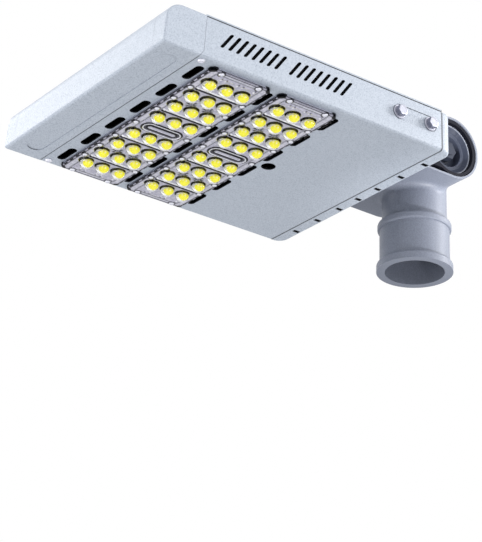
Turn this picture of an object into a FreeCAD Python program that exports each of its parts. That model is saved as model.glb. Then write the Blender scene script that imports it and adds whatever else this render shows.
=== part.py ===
"""Street light head on a tilting pole fitter, in millimetres.

X runs towards the nose, Y across the head, Z up. The origin is the centre of the socket's mouth,
so the pole's axis is Z and the two sides mirror each other across the plane Y = 0.
"""
import FreeCAD
import Part

import math
import os

import Sketcher
from FreeCAD import Vector

# Driving sizes: name, value and what it measures.
DRIVING_SIZES = [
    # Pole fitter
    ("socket_radius", 31.0, "bore for a 60 mm pole with 1 mm all round"),
    ("socket_depth", 70.0, "mouth to the roof of the socket"),
    ("collar_radius", 39.7, "thick ring at the mouth"),
    ("collar_height", 8.6, "mouth to the top of the ring"),
    ("sleeve_radius", 36.4, "wall round the pole"),
    ("bead_radius", 38.5, "raised bead above the sleeve"),
    ("bead_low", 45.7, "lower edge of the bead"),
    ("bead_high", 53.6, "upper edge of the bead"),
    ("ring_round", 1.8, "rounding of the bead and the collar"),
    ("neck_radius", 33.8, "neck between the bead and the hood"),
    ("neck_fillet", 7.0, "fillet where the neck meets the hood"),
    ("setscrew_radius", 4.0, "screws that grip the pole"),
    ("setscrew_low", 20.0, "height of the lower screw"),
    ("setscrew_high", 37.0, "height of the upper screw"),
    ("setscrew_proud", 1.5, "how far a screw stands out of the sleeve"),
    ("setscrew_key", 2.0, "radius of its key hole"),
    # Tilt joint
    ("hinge_height", 121.0, "tilt axis above the mouth"),
    ("hood_radius", 34.4, "outside of the hood round the joint"),
    ("hood_half", 61.0, "centre to the end of the hood"),
    ("hood_wall", 2.2, "hood and lip thickness"),
    ("hood_front", 15.0, "where the roof of the hood stops"),
    ("lip_reach", 40.0, "how far the hood's lower lip runs forward"),
    ("drum_half", 38.0, "centre to the drum's end face"),
    ("window_half", 26.0, "half width of the cable window in the drum"),
    ("window_back", 14.0, "back of the cable window"),
    ("window_rise", 27.0, "cable window above and below the tilt axis"),
    ("passage_radius", 9.0, "cable hole from the socket to the window"),
    ("passage_forward", 20.0, "cable hole in front of the pole's axis"),
    ("bolt_radius", 6.0, "through bolt of the joint"),
    ("bolt_flats", 18.0, "its head and nut across flats"),
    ("bolt_head", 7.5, "height of its head"),
    ("bolt_nut", 10.0, "height of its nut"),
    ("bolt_end", 2.0, "how far it stands out of the nut"),
    ("bolt_washer_radius", 12.0, "its washers"),
    ("bolt_washer_thickness", 2.5, "its washers"),
    ("play", 0.2, "radial play round bolts and screws"),
    # Clamp cups
    ("eye_bore", 21.55, "bore of the fork's eye"),
    ("running_fit", 0.05, "radial clearance of the joint"),
    ("side_play", 0.1, "gap between sliding side faces"),
    ("cup_radius", 27.6, "flange of a clamp cup"),
    ("cup_gap", 0.5, "round the cup's flange in its counterbore"),
    ("cup_seat", 48.0, "floor of the counterbore from the centre"),
    ("cup_rim", 56.0, "outer rim of the cup from the centre"),
    ("cup_rim_width", 1.3, "width of the rim"),
    ("cup_step", 52.0, "flat step inside the cup"),
    ("cup_step_radius", 22.0, "outside of that step"),
    ("cup_recess_radius", 18.0, "bolt recess"),
    ("cup_floor", 3.5, "thickness of the recess floor"),
    # Fork
    ("eye_radius", 31.4, "round end of a fork arm"),
    ("arm_outer", 60.2, "outer face of an arm from the centre"),
    ("arm_drop", 27.5, "underside of an arm below the tilt axis"),
    ("arm_crotch", 47.0, "where that underside turns down"),
    ("arm_slope", 45.0, "slope of an arm in degrees"),
    ("foot_back", 82.0, "back of the fork's foot plate"),
    ("foot_thickness", 5.0, "foot plate"),
    ("foot_low", 79.5, "lower edge of the foot plate"),
    ("foot_high", 98.0, "upper edge of the foot plate"),
    ("foot_bolt_y", 24.0, "foot bolts from the centre"),
    ("cable_hole", 7.0, "hole in the walls for the cable"),
    ("cable_height", 89.0, "height of that hole"),
    # Head box
    ("panel_height", 60.0, "underside of the head above the mouth"),
    ("head_margin", 18.5, "side of the head beyond the heatsinks"),
    ("head_top", 105.0, "top of the cover"),
    ("head_rear", 69.5, "rear wall"),
    ("rear_seam", 84.3, "seam of the rear cap"),
    ("nose_seam_low", 375.0, "seam of the nose under the head"),
    ("nose_seam_side", 371.3, "seam of the nose low on the side"),
    ("nose_seam_rise", 6.0, "height of that point above the underside"),
    ("nose_seam_top", 369.0, "seam of the nose at the cover"),
    ("nose_front", 415.5, "front of the nose at its lower edge"),
    ("nose_lean", 3.8, "how far the front leans back to the top"),
    ("nose_round", 18.5, "round from the front to the top"),
    ("nose_corner", 1.6, "upright corners of the nose"),
    ("cap_edge", 2.8, "lower edges of the nose and the rear cap"),
    ("cap_drop", 1.0, "cover above the two caps"),
    ("seam_gap", 0.3, "open line of a seam"),
    ("sheet", 2.0, "folded sheet of the tray"),
    ("bend_radius", 3.4, "outer radius of the folds"),
    ("flange_width", 12.0, "returned flange at the top of a side"),
    ("cover_thickness", 2.5, "top cover"),
    ("cover_edge", 1.2, "rounded edge of the cover"),
    ("cap_wall", 2.5, "wall of the nose and the rear cap"),
    ("rear_corner", 12.0, "upright corners of the rear cap"),
    ("rear_edge", 4.5, "top edge of the rear cap"),
    ("window_clear", 1.0, "round the arms where they leave the rear cap"),
    # Slots and holes of the tray
    ("vent_length", 28.8, "slots beside the modules"),
    ("vent_width", 9.0, "width of those slots"),
    ("vent_pitch", 42.4, "pitch of those slots"),
    ("vent_offset", 39.0, "row of slots from the module's centre"),
    ("louvre_width", 3.8, "slanted slots in the sides"),
    ("louvre_tip", 1.1, "their cut corners"),
    ("louvre_low", 76.0, "lower end of the slanted slots"),
    ("louvre_high", 93.6, "upper end of the slanted slots"),
    ("louvre_lean", 12.5, "how far the upper end lies back"),
    ("louvre_pitch", 8.8, "pitch of the slanted slots"),
    ("louvre_front", 30.6, "first slot of a group from the module's centre"),
    ("hole_radius", 7.35, "round hole behind the modules"),
    ("hole_x", 192.6, "place of the round hole"),
    ("drain_length", 7.2, "slots under the rear cap"),
    ("drain_width", 3.4, "width of those slots"),
    ("drain_x", 76.4, "row of those slots"),
    ("drain_near", 30.5, "first slot from the middle one"),
    ("drain_pitch", 35.7, "pitch of the outer slots"),
    # Frame and its bolts
    ("frame_bolt_front", 139.0, "front bolts of the frame"),
    ("frame_bolt_rear", 99.5, "rear bolts of the frame"),
    ("frame_bolt_height", 83.7, "height of the frame bolts"),
    ("frame_bolt_radius", 4.0, "shank"),
    ("frame_bolt_flats", 13.0, "head and nut across flats"),
    ("frame_bolt_head", 5.3, "hexagon head"),
    ("frame_nut", 6.5, "nut"),
    ("frame_bolt_end", 1.5, "how far a bolt stands out of its nut"),
    ("frame_washer_radius", 8.0, "washer"),
    ("frame_washer_thickness", 1.6, "washer"),
    ("pad_length", 56.0, "pressed recess round the bolts"),
    ("pad_width", 16.6, "its height"),
    ("pad_depth", 0.8, "its depth"),
    ("frame_thickness", 4.0, "strip of the frame"),
    ("frame_low", 66.0, "lower edge of the frame"),
    ("frame_high", 99.0, "upper edge of the frame"),
    ("frame_leg", 62.0, "length of a leg of the frame"),
    # Modules
    ("front_module_x", 321.6, "centre of the front module"),
    ("module_pitch", 78.7, "front module to rear module"),
    ("plate_reach", 10.5, "lens plate beyond the heatsink across the head"),
    ("plate_ledge", 4.0, "lens plate beyond the heatsink along the head"),
    ("plate_corner", 3.0, "cut corners of the plates"),
    ("sink_flange", 1.6, "heatsink flange under the panel"),
    ("gasket_thickness", 0.6, "seal between heatsink and lens plate"),
    ("gasket_width", 2.0, "seal ring"),
    ("plate_flange", 1.4, "lens plate at its screws"),
    ("deck_drop", 1.4, "raised deck of the lens plate"),
    ("deck_inset", 7.0, "end of the plate to the deck"),
    ("deck_width", 49.0, "deck along the head"),
    ("deck_wall", 1.0, "wall of the deck"),
    ("deck_slope", 36.0, "slope of the deck's sides in degrees"),
    ("column_pitch", 18.8, "lenses along the head"),
    ("row_reach", 13.9, "lens rows from the groove between them"),
    ("dome_radius", 8.6, "foot of a lens dome"),
    ("dome_height", 9.4, "height of a lens dome from the flange"),
    ("dome_slope", 22.0, "slope of a dome's side in degrees"),
    ("dome_sides", 12, "sides of a lens dome"),
    ("rib_width", 1.4, "grooves across the deck"),
    ("rib_depth", 0.5, "their depth"),
    ("rib_near", 0.1424, "inner grooves from the middle, as a share of the deck's length"),
    ("rib_far", 0.365, "outer grooves, as a share of the deck's length"),
    ("track_length", 42.0, "ring in the middle of the deck"),
    ("track_width", 15.0, "its width"),
    ("track_corner", 4.0, "its cut corners"),
    ("track_wall", 2.6, "its wall"),
    ("track_height", 1.3, "its height"),
    ("plate_screw_x", 21.1, "corner screws from the plate's centre line"),
    ("plate_screw_inset", 3.6, "corner screws from the plate's ends"),
    ("plate_screw_radius", 1.6, "their shank"),
    ("plate_screw_head", 2.7, "radius of their head"),
    ("plate_screw_height", 1.5, "height of their head"),
    ("plate_screw_end", 2.0, "how far they reach above the panel"),
    ("board_thickness", 1.4, "circuit board"),
    ("board_play", 0.4, "round the board"),
    ("chip_side", 7.0, "light chip"),
    ("chip_height", 0.7, "light chip"),
    ("sink_length", 236.0, "heatsink body across the head"),
    ("sink_width", 60.0, "heatsink body along the head"),
    ("sink_play", 0.4, "round the heatsink in the tray"),
    ("sink_deck", 66.0, "foot of the fins"),
    ("fin_top", 95.0, "top of the fins"),
    ("fin_thickness", 2.0, "fin"),
    ("fin_count", 31, "fins on a heatsink"),
    # Nose details and screws
    ("nose_screw_inset", 7.5, "button screws behind the nose seam, from the side"),
    ("nose_screw_x", 368.5, "their place"),
    ("button_radius", 3.8, "button head"),
    ("button_height", 2.2, "button head"),
    ("button_shank", 2.0, "button screw's shank"),
    ("tab_thickness", 4.0, "tabs inside the nose"),
    ("tab_reach", 9.5, "how far a tab reaches behind the seam"),
    ("tab_width", 14.0, "tab"),
    ("tab_offset", 3.5, "middle of a tab inside its screw"),
    ("field_inset", 17.5, "shallow field under the nose, from the side"),
    ("field_width", 18.0, "its width"),
    ("field_x", 394.0, "its place"),
    ("field_depth", 0.6, "its depth"),
    ("cover_screw_inset", 7.5, "cover screws from the side"),
    ("cover_screw_rear", 100.0, "rear cover screws"),
    ("cover_screw_front", 354.0, "front cover screws"),
    ("cover_screw_end", 1.0, "how far they reach below the flange"),
    # Pieces inside
    ("gear_sheet", 2.0, "gear plate under the driver"),
    ("gear_rear", 104.0, "rear edge of the gear plate"),
    ("gear_front", 181.0, "front edge of the gear plate"),
    ("gear_inset", 16.5, "side of the head to the gear plate"),
    ("gear_gap", 5.0, "round and between the pieces on it"),
    ("driver_height", 31.0, "driver"),
    ("driver_round", 3.0, "edges of the driver"),
    ("surge_length", 46.0, "surge protector"),
    ("surge_height", 27.0, "surge protector"),
    ("terminal_depth", 24.0, "terminal block"),
    ("terminal_height", 17.0, "terminal block"),
    ("terminal_pole", 10.0, "pitch of its clamps"),
    ("terminal_well", 3.0, "radius of its screw wells"),
    ("grommet_flange", 11.0, "cable grommet"),
    ("grommet_bore", 4.5, "cable grommet"),
    ("grommet_lip", 2.0, "grommet each side of the wall"),
]

doc = FreeCAD.newDocument("StreetLightHead")
sizes = doc.addObject("Spreadsheet::Sheet", "Sizes")
for row, (alias, value, meaning) in enumerate(DRIVING_SIZES, start=1):
    sizes.set(f"A{row}", alias)
    sizes.set(f"B{row}", str(value))
    sizes.set(f"C{row}", meaning)
    sizes.setAlias(f"B{row}", alias)
doc.recompute()


def size(expression):
    """Value of an expression in the names of the sheet."""
    return float(sizes.evalExpression(expression))


# Heights and lines that several pieces share, as expressions.
HEAD_HALF = "(Sizes.sink_length / 2 + Sizes.head_margin)"
PANEL = "Sizes.panel_height"
FLOOR = "(Sizes.panel_height + Sizes.sheet)"
SIDE_TOP = "(Sizes.head_top - Sizes.cover_thickness)"
CAP_TOP = "(Sizes.head_top - Sizes.cap_drop)"
INSIDE = f"({HEAD_HALF} - Sizes.sheet)"
TRAY_REAR = "(Sizes.rear_seam + Sizes.seam_gap / 2)"
CAP_FRONT = "(Sizes.rear_seam - Sizes.seam_gap / 2)"
SINK_FACE = "(Sizes.panel_height - Sizes.sink_flange)"
GASKET_FACE = "(Sizes.panel_height - Sizes.sink_flange - Sizes.gasket_thickness)"
PLATE_FACE = f"({GASKET_FACE} - Sizes.plate_flange)"
DECK_FACE = f"({PLATE_FACE} - Sizes.deck_drop)"
CAVITY_WIDTH = "(Sizes.deck_width - 2 * Sizes.deck_wall)"
PLATE_LENGTH = "(Sizes.sink_length + 2 * Sizes.plate_reach)"
PLATE_WIDTH = "(Sizes.sink_width + 2 * Sizes.plate_ledge)"
DECK_LENGTH = f"({PLATE_LENGTH} - 2 * Sizes.deck_inset)"
CAVITY_LENGTH = f"({DECK_LENGTH} - 2 * Sizes.deck_wall)"
HOOD_BOTTOM = "(Sizes.hinge_height - Sizes.hood_radius)"
HOOD_FLOOR = "(Sizes.hinge_height - Sizes.hood_radius + Sizes.hood_wall)"
WINDOW_LOW = "(Sizes.hinge_height - Sizes.window_rise)"
ARM_LOW = "(Sizes.hinge_height - Sizes.arm_drop)"
CUP_FLOOR_FACE = "(Sizes.drum_half + Sizes.cup_floor)"
FOOT_FRONT = "(Sizes.foot_back + Sizes.foot_thickness)"
WEB_FRONT = f"({FOOT_FRONT} + Sizes.frame_thickness)"
LEG_INSIDE = f"({INSIDE} - Sizes.frame_thickness)"
BOLT_SEAT = f"({HEAD_HALF} - Sizes.pad_depth)"
GEAR_TOP = f"({FLOOR} + Sizes.gear_sheet)"
GEAR_BACK = "(Sizes.gear_rear + Sizes.gear_gap)"
GEAR_HALF = f"({HEAD_HALF} - Sizes.gear_inset)"
TERMINAL_START = f"({GEAR_HALF} - Sizes.gear_gap - 3 * Sizes.terminal_pole)"
SURGE_START = f"({TERMINAL_START} - Sizes.gear_gap - Sizes.surge_length)"
DRIVER_START = f"(Sizes.gear_gap - {GEAR_HALF})"
DRIVER_LENGTH = f"({SURGE_START} - Sizes.gear_gap - {DRIVER_START})"
FRONT_MODULE = "Sizes.front_module_x"
REAR_MODULE = "(Sizes.front_module_x - Sizes.module_pitch)"
BOTH_SIDES = ("", "-")
LENS_RIBS = [f"{sign}{share} * {DECK_LENGTH}" for sign in BOTH_SIDES
             for share in ("Sizes.rib_near", "Sizes.rib_far")]
LENS_ROWS = [f"({rib} {sign} Sizes.row_reach)" for rib in LENS_RIBS for sign in ("-", "+")]
LENS_COLUMNS = ("-Sizes.column_pitch", "0", "Sizes.column_pitch")
LENS_SPOTS = [(x, y) for y in LENS_ROWS for x in LENS_COLUMNS]
HINGE = ("0", "Sizes.hinge_height")
BOLT_SPOTS = [(x, "Sizes.frame_bolt_height") for x in ("Sizes.frame_bolt_rear", "Sizes.frame_bolt_front")]
FOOT_SPOTS = [(f"{sign}Sizes.foot_bolt_y", "Sizes.cable_height") for sign in BOTH_SIDES]
NOSE_SPOTS = [("Sizes.nose_screw_x", f"{sign}({HEAD_HALF} - Sizes.nose_screw_inset)") for sign in BOTH_SIDES]
COVER_SPOTS = [(x, f"{sign}({HEAD_HALF} - Sizes.cover_screw_inset)")
               for x in ("Sizes.cover_screw_rear", "Sizes.cover_screw_front") for sign in BOTH_SIDES]
PLATE_SPOTS = [(f"{u}Sizes.plate_screw_x", f"{v}({PLATE_LENGTH} / 2 - Sizes.plate_screw_inset)")
               for u in BOTH_SIDES for v in BOTH_SIDES]

# Document and sketch helpers. Every point is a pair of expressions, so a changed size moves it.


def plane_of(body, role):
    """Origin plane or axis of a body."""
    return next(f for f in body.Origin.OriginFeatures if f.Role == role)


def new_body(label, forward=None):
    """Empty body that may hold several solids; forward is its place along X."""
    body = doc.addObject("PartDesign::Body", label)
    body.Label = label
    body.AllowCompound = True
    if forward:
        body.setExpression("Placement.Base.x", forward)
    return body


def new_sketch(body, role, offset=None, origin=None):
    """Sketch on an origin plane, moved off it by offset and along it by origin."""
    sketch = body.newObject("Sketcher::SketchObject", body.Name + "_sketch")
    sketch.AttachmentSupport = [(plane_of(body, role), "")]
    sketch.MapMode = "FlatFace"
    if offset:
        sketch.setExpression("AttachmentOffset.Base.z", offset)
    if origin:
        sketch.setExpression("AttachmentOffset.Base.x", origin[0])
        sketch.setExpression("AttachmentOffset.Base.y", origin[1])
    return sketch


def level_sketch(body, height=None):
    """Sketch seen from above at a height: its axes are X and Y."""
    return new_sketch(body, "XY_Plane", height)


def side_sketch(body, y=None):
    """Sketch seen from the side at a place along Y: its axes are X and Z."""
    return new_sketch(body, "XZ_Plane", f"-({y})" if y else None)


def cross_sketch(body, x=None):
    """Sketch across the head at a place along X: its axes are Y and Z."""
    return new_sketch(body, "YZ_Plane", x)


def pin_points(sketch, pins):
    """Fix points of the geometry; a pin is a geometry, one of its ends and a pair of expressions."""
    bound = [(kind, geometry, end, expression) for geometry, end, point in pins
             for kind, expression in zip(("DistanceX", "DistanceY"), point)]
    first = sketch.ConstraintCount
    sketch.addConstraint([Sketcher.Constraint(kind, -1, 1, geometry, end, size(expression))
                          for kind, geometry, end, expression in bound])
    for index, item in enumerate(bound, start=first):
        sketch.setExpression(f"Constraints[{index}]", item[-1])


def add_polygon(sketch, points):
    """Closed outline of straight lines."""
    corners = [Vector(size(u), size(v), 0) for u, v in points]
    first = sketch.GeometryCount
    count = len(corners)
    sketch.addGeometry([Part.LineSegment(corners[k - 1], corners[k]) for k in range(count)], False)
    sketch.addConstraint([Sketcher.Constraint("Coincident", first + k, 2, first + (k + 1) % count, 1)
                          for k in range(count)])
    pin_points(sketch, [(first + k, 2, point) for k, point in enumerate(points)])
    return sketch


def add_box(sketch, low, high):
    """Rectangle between two corners."""
    return add_polygon(sketch, [low, (high[0], low[1]), high, (low[0], high[1])])


def add_centred_box(sketch, length, width, centre=("0", "0")):
    """Rectangle about a centre; length and width are along the sketch's two axes."""
    u, v = centre
    low = (f"{u} - {length} / 2", f"{v} - {width} / 2")
    high = (f"{u} + {length} / 2", f"{v} + {width} / 2")
    return add_box(sketch, low, high)


def add_cut_box(sketch, length, width, corner):
    """Rectangle about the sketch's origin with cut corners."""
    u, v = f"{length} / 2", f"{width} / 2"
    return add_polygon(sketch, [
        (f"-({u})", f"-({v}) + {corner}"),
        (f"-({u}) + {corner}", f"-({v})"),
        (f"{u} - {corner}", f"-({v})"),
        (u, f"-({v}) + {corner}"),
        (u, f"{v} - {corner}"),
        (f"{u} - {corner}", v),
        (f"-({u}) + {corner}", v),
        (f"-({u})", f"{v} - {corner}"),
    ])


def add_ring_of_sides(sketch, centre, reach, count):
    """Regular polygon whose corners lie at a radius from its centre."""
    corners = []
    for k in range(count):
        turn = f"{360 / count * k:g}deg"
        corners.append((f"{centre[0]} + {reach} * cos({turn})", f"{centre[1]} + {reach} * sin({turn})"))
    return add_polygon(sketch, corners)


def add_hexagon(sketch, centre, flats):
    """Hexagon of a given size across its flats."""
    return add_ring_of_sides(sketch, centre, f"{flats} / 2 / cos(30deg)", 6)


def add_circle(sketch, centre, radius):
    """Circle with a bound centre and radius."""
    at = Vector(size(centre[0]), size(centre[1]), 0)
    index = sketch.addGeometry(Part.Circle(at, Vector(0, 0, 1), size(radius)), False)
    pin_points(sketch, [(index, 3, centre)])
    rim = sketch.addConstraint(Sketcher.Constraint("Radius", index, size(radius)))
    sketch.setExpression(f"Constraints[{rim}]", radius)
    return sketch


def add_circles(sketch, centres, radius):
    """Equal circles at a list of centres."""
    for centre in centres:
        add_circle(sketch, centre, radius)
    return sketch


def add_slot(sketch, start, end, radius):
    """Slot with round ends: two half circles about start and end, joined by tangent lines."""
    a = Vector(size(start[0]), size(start[1]), 0)
    b = Vector(size(end[0]), size(end[1]), 0)
    r = size(radius)
    along = math.atan2(b.y - a.y, b.x - a.x)
    side = Vector(-math.sin(along), math.cos(along), 0) * r
    quarter = math.pi / 2
    cap_a = Part.ArcOfCircle(Part.Circle(a, Vector(0, 0, 1), r), along + quarter, along + 3 * quarter)
    cap_b = Part.ArcOfCircle(Part.Circle(b, Vector(0, 0, 1), r), along - quarter, along + quarter)
    first = sketch.GeometryCount
    sketch.addGeometry([cap_a, cap_b], False)
    sketch.addGeometry([Part.LineSegment(a - side, b - side), Part.LineSegment(b + side, a + side)], False)
    start_cap, end_cap, low, high = range(first, first + 4)
    joins = [(start_cap, 2, low, 1), (low, 2, end_cap, 1), (end_cap, 2, high, 1), (high, 2, start_cap, 1)]
    for left, left_end, right, right_end in joins:
        sketch.addConstraint(Sketcher.Constraint("Tangent", left, left_end, right, right_end))
    sketch.addConstraint(Sketcher.Constraint("Equal", start_cap, end_cap))
    rim = sketch.addConstraint(Sketcher.Constraint("Radius", start_cap, r))
    sketch.setExpression(f"Constraints[{rim}]", radius)
    pin_points(sketch, [(start_cap, 3, start), (end_cap, 3, end)])
    return sketch


# Feature helpers. A pad grows along the sketch's normal unless back is set.
# The normals are +X for a cross sketch, -Y for a side sketch and +Z for a level sketch.


def feature(body, kind, sketch, **bound):
    """Sketch feature whose numbers are bound to the sheet."""
    item = body.newObject("PartDesign::" + kind, body.Name + "_" + kind.lower())
    item.Profile = sketch
    for prop, expression in bound.items():
        item.setExpression(prop, expression)
    return item


def pad(body, sketch, length, middle=False, back=False, slope=None):
    """Solid grown from a sketch; slope draws its sides in, in degrees."""
    item = feature(body, "Pad", sketch, Length=length)
    item.Midplane = middle
    item.Reversed = back
    if slope:
        item.setExpression("TaperAngle", f"-({slope})")
    doc.recompute()
    return item


def pocket(body, sketch, length, middle=False, ahead=False):
    """Cut against the sketch's normal, or along it with ahead; it has to remove something."""
    before = body.Shape.Volume
    item = feature(body, "Pocket", sketch, Length=length)
    item.Midplane = middle
    item.Reversed = ahead
    doc.recompute()
    if body.Shape.Volume > before - 0.01:
        raise RuntimeError(f"{item.Name} cuts nothing")
    return item


def revolve(body, sketch, axis="V_Axis"):
    """Full turn about an axis of the sketch."""
    item = feature(body, "Revolution", sketch)
    item.ReferenceAxis = (sketch, [axis])
    item.Angle = 360.0
    doc.recompute()
    return item


def mirror(body, originals, role="XZ_Plane"):
    """Copies of features across an origin plane."""
    item = body.newObject("PartDesign::Mirrored", body.Name + "_mirrored")
    item.Originals = originals
    item.MirrorPlane = (plane_of(body, role), [""])
    body.Tip = item
    doc.recompute()
    return item


def row_of(body, originals, role, length, count):
    """Evenly spaced copies along an origin axis; length is first to last."""
    item = body.newObject("PartDesign::LinearPattern", body.Name + "_row")
    item.Originals = originals
    item.Direction = (plane_of(body, role), [""])
    item.setExpression("Length", length)
    item.setExpression("Occurrences", count)
    body.Tip = item
    doc.recompute()
    return item


def round_edges(body, test, radius):
    """Fillet on the edges whose bounding box passes a test."""
    base = body.Tip
    names = [f"Edge{k}" for k, edge in enumerate(base.Shape.Edges, start=1) if test(edge.BoundBox)]
    if not names:
        raise RuntimeError(f"no edge to round on {body.Name}")
    item = body.newObject("PartDesign::Fillet", body.Name + "_fillet")
    item.Base = (base, names)
    item.setExpression("Radius", radius)
    doc.recompute()
    return item


def near(a, b):
    """True for two lengths that are the same."""
    return abs(a - b) < 0.01


def from_middle(box):
    """Smallest distance of a box's ends from the middle plane."""
    return min(abs(box.YMin), abs(box.YMax))


# Pole fitter: sleeve, neck, drum and hood are one casting.


def soft_corner(radius, height, sign):
    """Three points of a turned profile that ease a corner; sign is + where the ring lies above it."""
    corner = "(1 - cos(45deg)) * Sizes.ring_round"
    points = [
        (radius, f"{height} {sign} Sizes.ring_round"),
        (f"{radius} - {corner}", f"{height} {sign} {corner}"),
        (f"{radius} - Sizes.ring_round", height),
    ]
    return points if sign == "-" else points[::-1]


def turned_sleeve(body):
    """Collar, sleeve, bead and neck as one turned solid about the pole's axis."""
    profile = [("0", "0"), ("Sizes.collar_radius", "0")]
    profile += soft_corner("Sizes.collar_radius", "Sizes.collar_height", "-")
    profile += [("Sizes.sleeve_radius", "Sizes.collar_height"), ("Sizes.sleeve_radius", "Sizes.bead_low")]
    profile += soft_corner("Sizes.bead_radius", "Sizes.bead_low", "+")
    profile += soft_corner("Sizes.bead_radius", "Sizes.bead_high", "-")
    profile += [("Sizes.neck_radius", "Sizes.bead_high"), ("Sizes.neck_radius", "Sizes.hinge_height"), HINGE]
    revolve(body, add_polygon(side_sketch(body), profile))


def hood_shell(body):
    """Barrel across the head with a lower lip that runs forward, and a fillet down to the neck."""
    pad(body, add_circle(side_sketch(body), HINGE, "Sizes.hood_radius"), "2 * Sizes.hood_half", middle=True)
    lip = add_box(side_sketch(body), ("0", HOOD_BOTTOM), ("Sizes.lip_reach", HOOD_FLOOR))
    pad(body, lip, "2 * Sizes.hood_half", middle=True)
    neck, low, axis = size("Sizes.neck_radius"), size(HOOD_BOTTOM), size("Sizes.hinge_height")

    def crease(box):
        widest = max(abs(box.XMin), abs(box.XMax), abs(box.YMin), abs(box.YMax))
        return widest < neck + 0.1 and box.ZMin > low - 1 and box.ZMax < axis - 0.1

    round_edges(body, crease, "Sizes.neck_fillet")


def arm_pockets(body):
    """Room at both ends of the barrel for the fork's arms, open to the front."""
    depth = "Sizes.hood_half - Sizes.drum_half"
    inner = "Sizes.hood_radius - Sizes.hood_wall"
    round_part = pocket(body, add_circle(side_sketch(body, "Sizes.hood_half"), HINGE, inner), depth, ahead=True)
    clear = "Sizes.lip_reach + Sizes.hood_radius"
    above = "Sizes.hinge_height + Sizes.hood_radius + Sizes.hood_wall"
    front = add_polygon(side_sketch(body, "Sizes.hood_half"), [
        HINGE,
        ("0", HOOD_FLOOR),
        (clear, HOOD_FLOOR),
        (clear, above),
        ("Sizes.hood_front", above),
        ("Sizes.hood_front", "Sizes.hinge_height"),
    ])
    open_part = pocket(body, front, depth, ahead=True)
    mirror(body, [round_part, open_part])


def pole_fitter():
    """Socket for the pole with the hood of the tilt joint on top."""
    body = new_body("pole_fitter")
    turned_sleeve(body)
    hood_shell(body)
    arm_pockets(body)
    window = add_box(side_sketch(body), ("Sizes.window_back", WINDOW_LOW),
                     ("Sizes.hood_radius + Sizes.lip_reach", "Sizes.hinge_height + Sizes.window_rise"))
    pocket(body, window, "2 * Sizes.window_half", middle=True)
    bore = add_circle(side_sketch(body), HINGE, "Sizes.bolt_radius + Sizes.play")
    pocket(body, bore, "2 * Sizes.hood_half", middle=True)
    socket = add_circle(level_sketch(body), ("0", "0"), "Sizes.socket_radius")
    pocket(body, socket, "Sizes.socket_depth", ahead=True)
    passage = add_circle(level_sketch(body, "Sizes.socket_depth"), ("Sizes.passage_forward", "0"),
                         "Sizes.passage_radius")
    pocket(body, passage, f"{WINDOW_LOW} - Sizes.socket_depth", ahead=True)
    threads = add_circles(cross_sketch(body, "-Sizes.collar_radius"), setscrew_spots(),
                          "Sizes.setscrew_radius + Sizes.play")
    pocket(body, threads, "Sizes.collar_radius", ahead=True)
    return body


def setscrew_spots():
    """Centres of the two grub screws, seen from behind."""
    return [("0", height) for height in ("Sizes.setscrew_low", "Sizes.setscrew_high")]


def set_screws():
    """Two grub screws in the back of the sleeve."""
    body = new_body("set_screws")
    back = "-(Sizes.sleeve_radius + Sizes.setscrew_proud)"
    shanks = add_circles(cross_sketch(body, back), setscrew_spots(), "Sizes.setscrew_radius")
    pad(body, shanks, "Sizes.sleeve_radius - Sizes.socket_radius + Sizes.setscrew_proud - Sizes.play")
    keys = add_circles(cross_sketch(body, back), setscrew_spots(), "Sizes.setscrew_key")
    pocket(body, keys, "Sizes.setscrew_radius", ahead=True)
    return body


def clamp_cups():
    """Flanged cups that the arms turn on, one against each face of the drum."""
    body = new_body("clamp_cups")
    bore = "Sizes.bolt_radius + Sizes.play"
    hub = "Sizes.eye_bore - Sizes.running_fit"
    seat = "Sizes.cup_seat + Sizes.side_play"
    profile = add_polygon(new_sketch(body, "YZ_Plane", origin=HINGE), [
        ("Sizes.drum_half", bore),
        ("Sizes.drum_half", hub),
        (seat, hub),
        (seat, "Sizes.cup_radius"),
        ("Sizes.cup_rim", "Sizes.cup_radius"),
        ("Sizes.cup_rim", "Sizes.cup_radius - Sizes.cup_rim_width"),
        ("Sizes.cup_step", "Sizes.cup_step_radius"),
        ("Sizes.cup_step", "Sizes.cup_recess_radius"),
        (CUP_FLOOR_FACE, "Sizes.cup_recess_radius"),
        (CUP_FLOOR_FACE, bore),
    ])
    mirror(body, [revolve(body, profile, "H_Axis")])
    return body


def pivot_bolt():
    """Through bolt of the joint, with its head in one cup."""
    body = new_body("pivot_bolt")
    seat = f"({CUP_FLOOR_FACE} + Sizes.bolt_washer_thickness)"
    pad(body, add_hexagon(side_sketch(body, f"-{seat}"), HINGE, "Sizes.bolt_flats"), "Sizes.bolt_head")
    shank = add_circle(side_sketch(body, f"-{seat}"), HINGE, "Sizes.bolt_radius")
    pad(body, shank, f"2 * {seat} + Sizes.bolt_nut + Sizes.bolt_end", back=True)
    return body


def pivot_nut():
    """Nut of the through bolt, in the other cup."""
    body = new_body("pivot_nut")
    sketch = add_hexagon(side_sketch(body, f"{CUP_FLOOR_FACE} + Sizes.bolt_washer_thickness"), HINGE,
                         "Sizes.bolt_flats")
    add_circle(sketch, HINGE, "Sizes.bolt_radius + Sizes.play")
    pad(body, sketch, "Sizes.bolt_nut", back=True)
    return body


def pivot_washers():
    """Washers between the cups and the bolt's head and nut."""
    body = new_body("pivot_washers")
    sketch = add_circle(side_sketch(body, CUP_FLOOR_FACE), HINGE, "Sizes.bolt_washer_radius")
    add_circle(sketch, HINGE, "Sizes.bolt_radius + Sizes.play")
    mirror(body, [pad(body, sketch, "Sizes.bolt_washer_thickness", back=True)])
    return body


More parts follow.
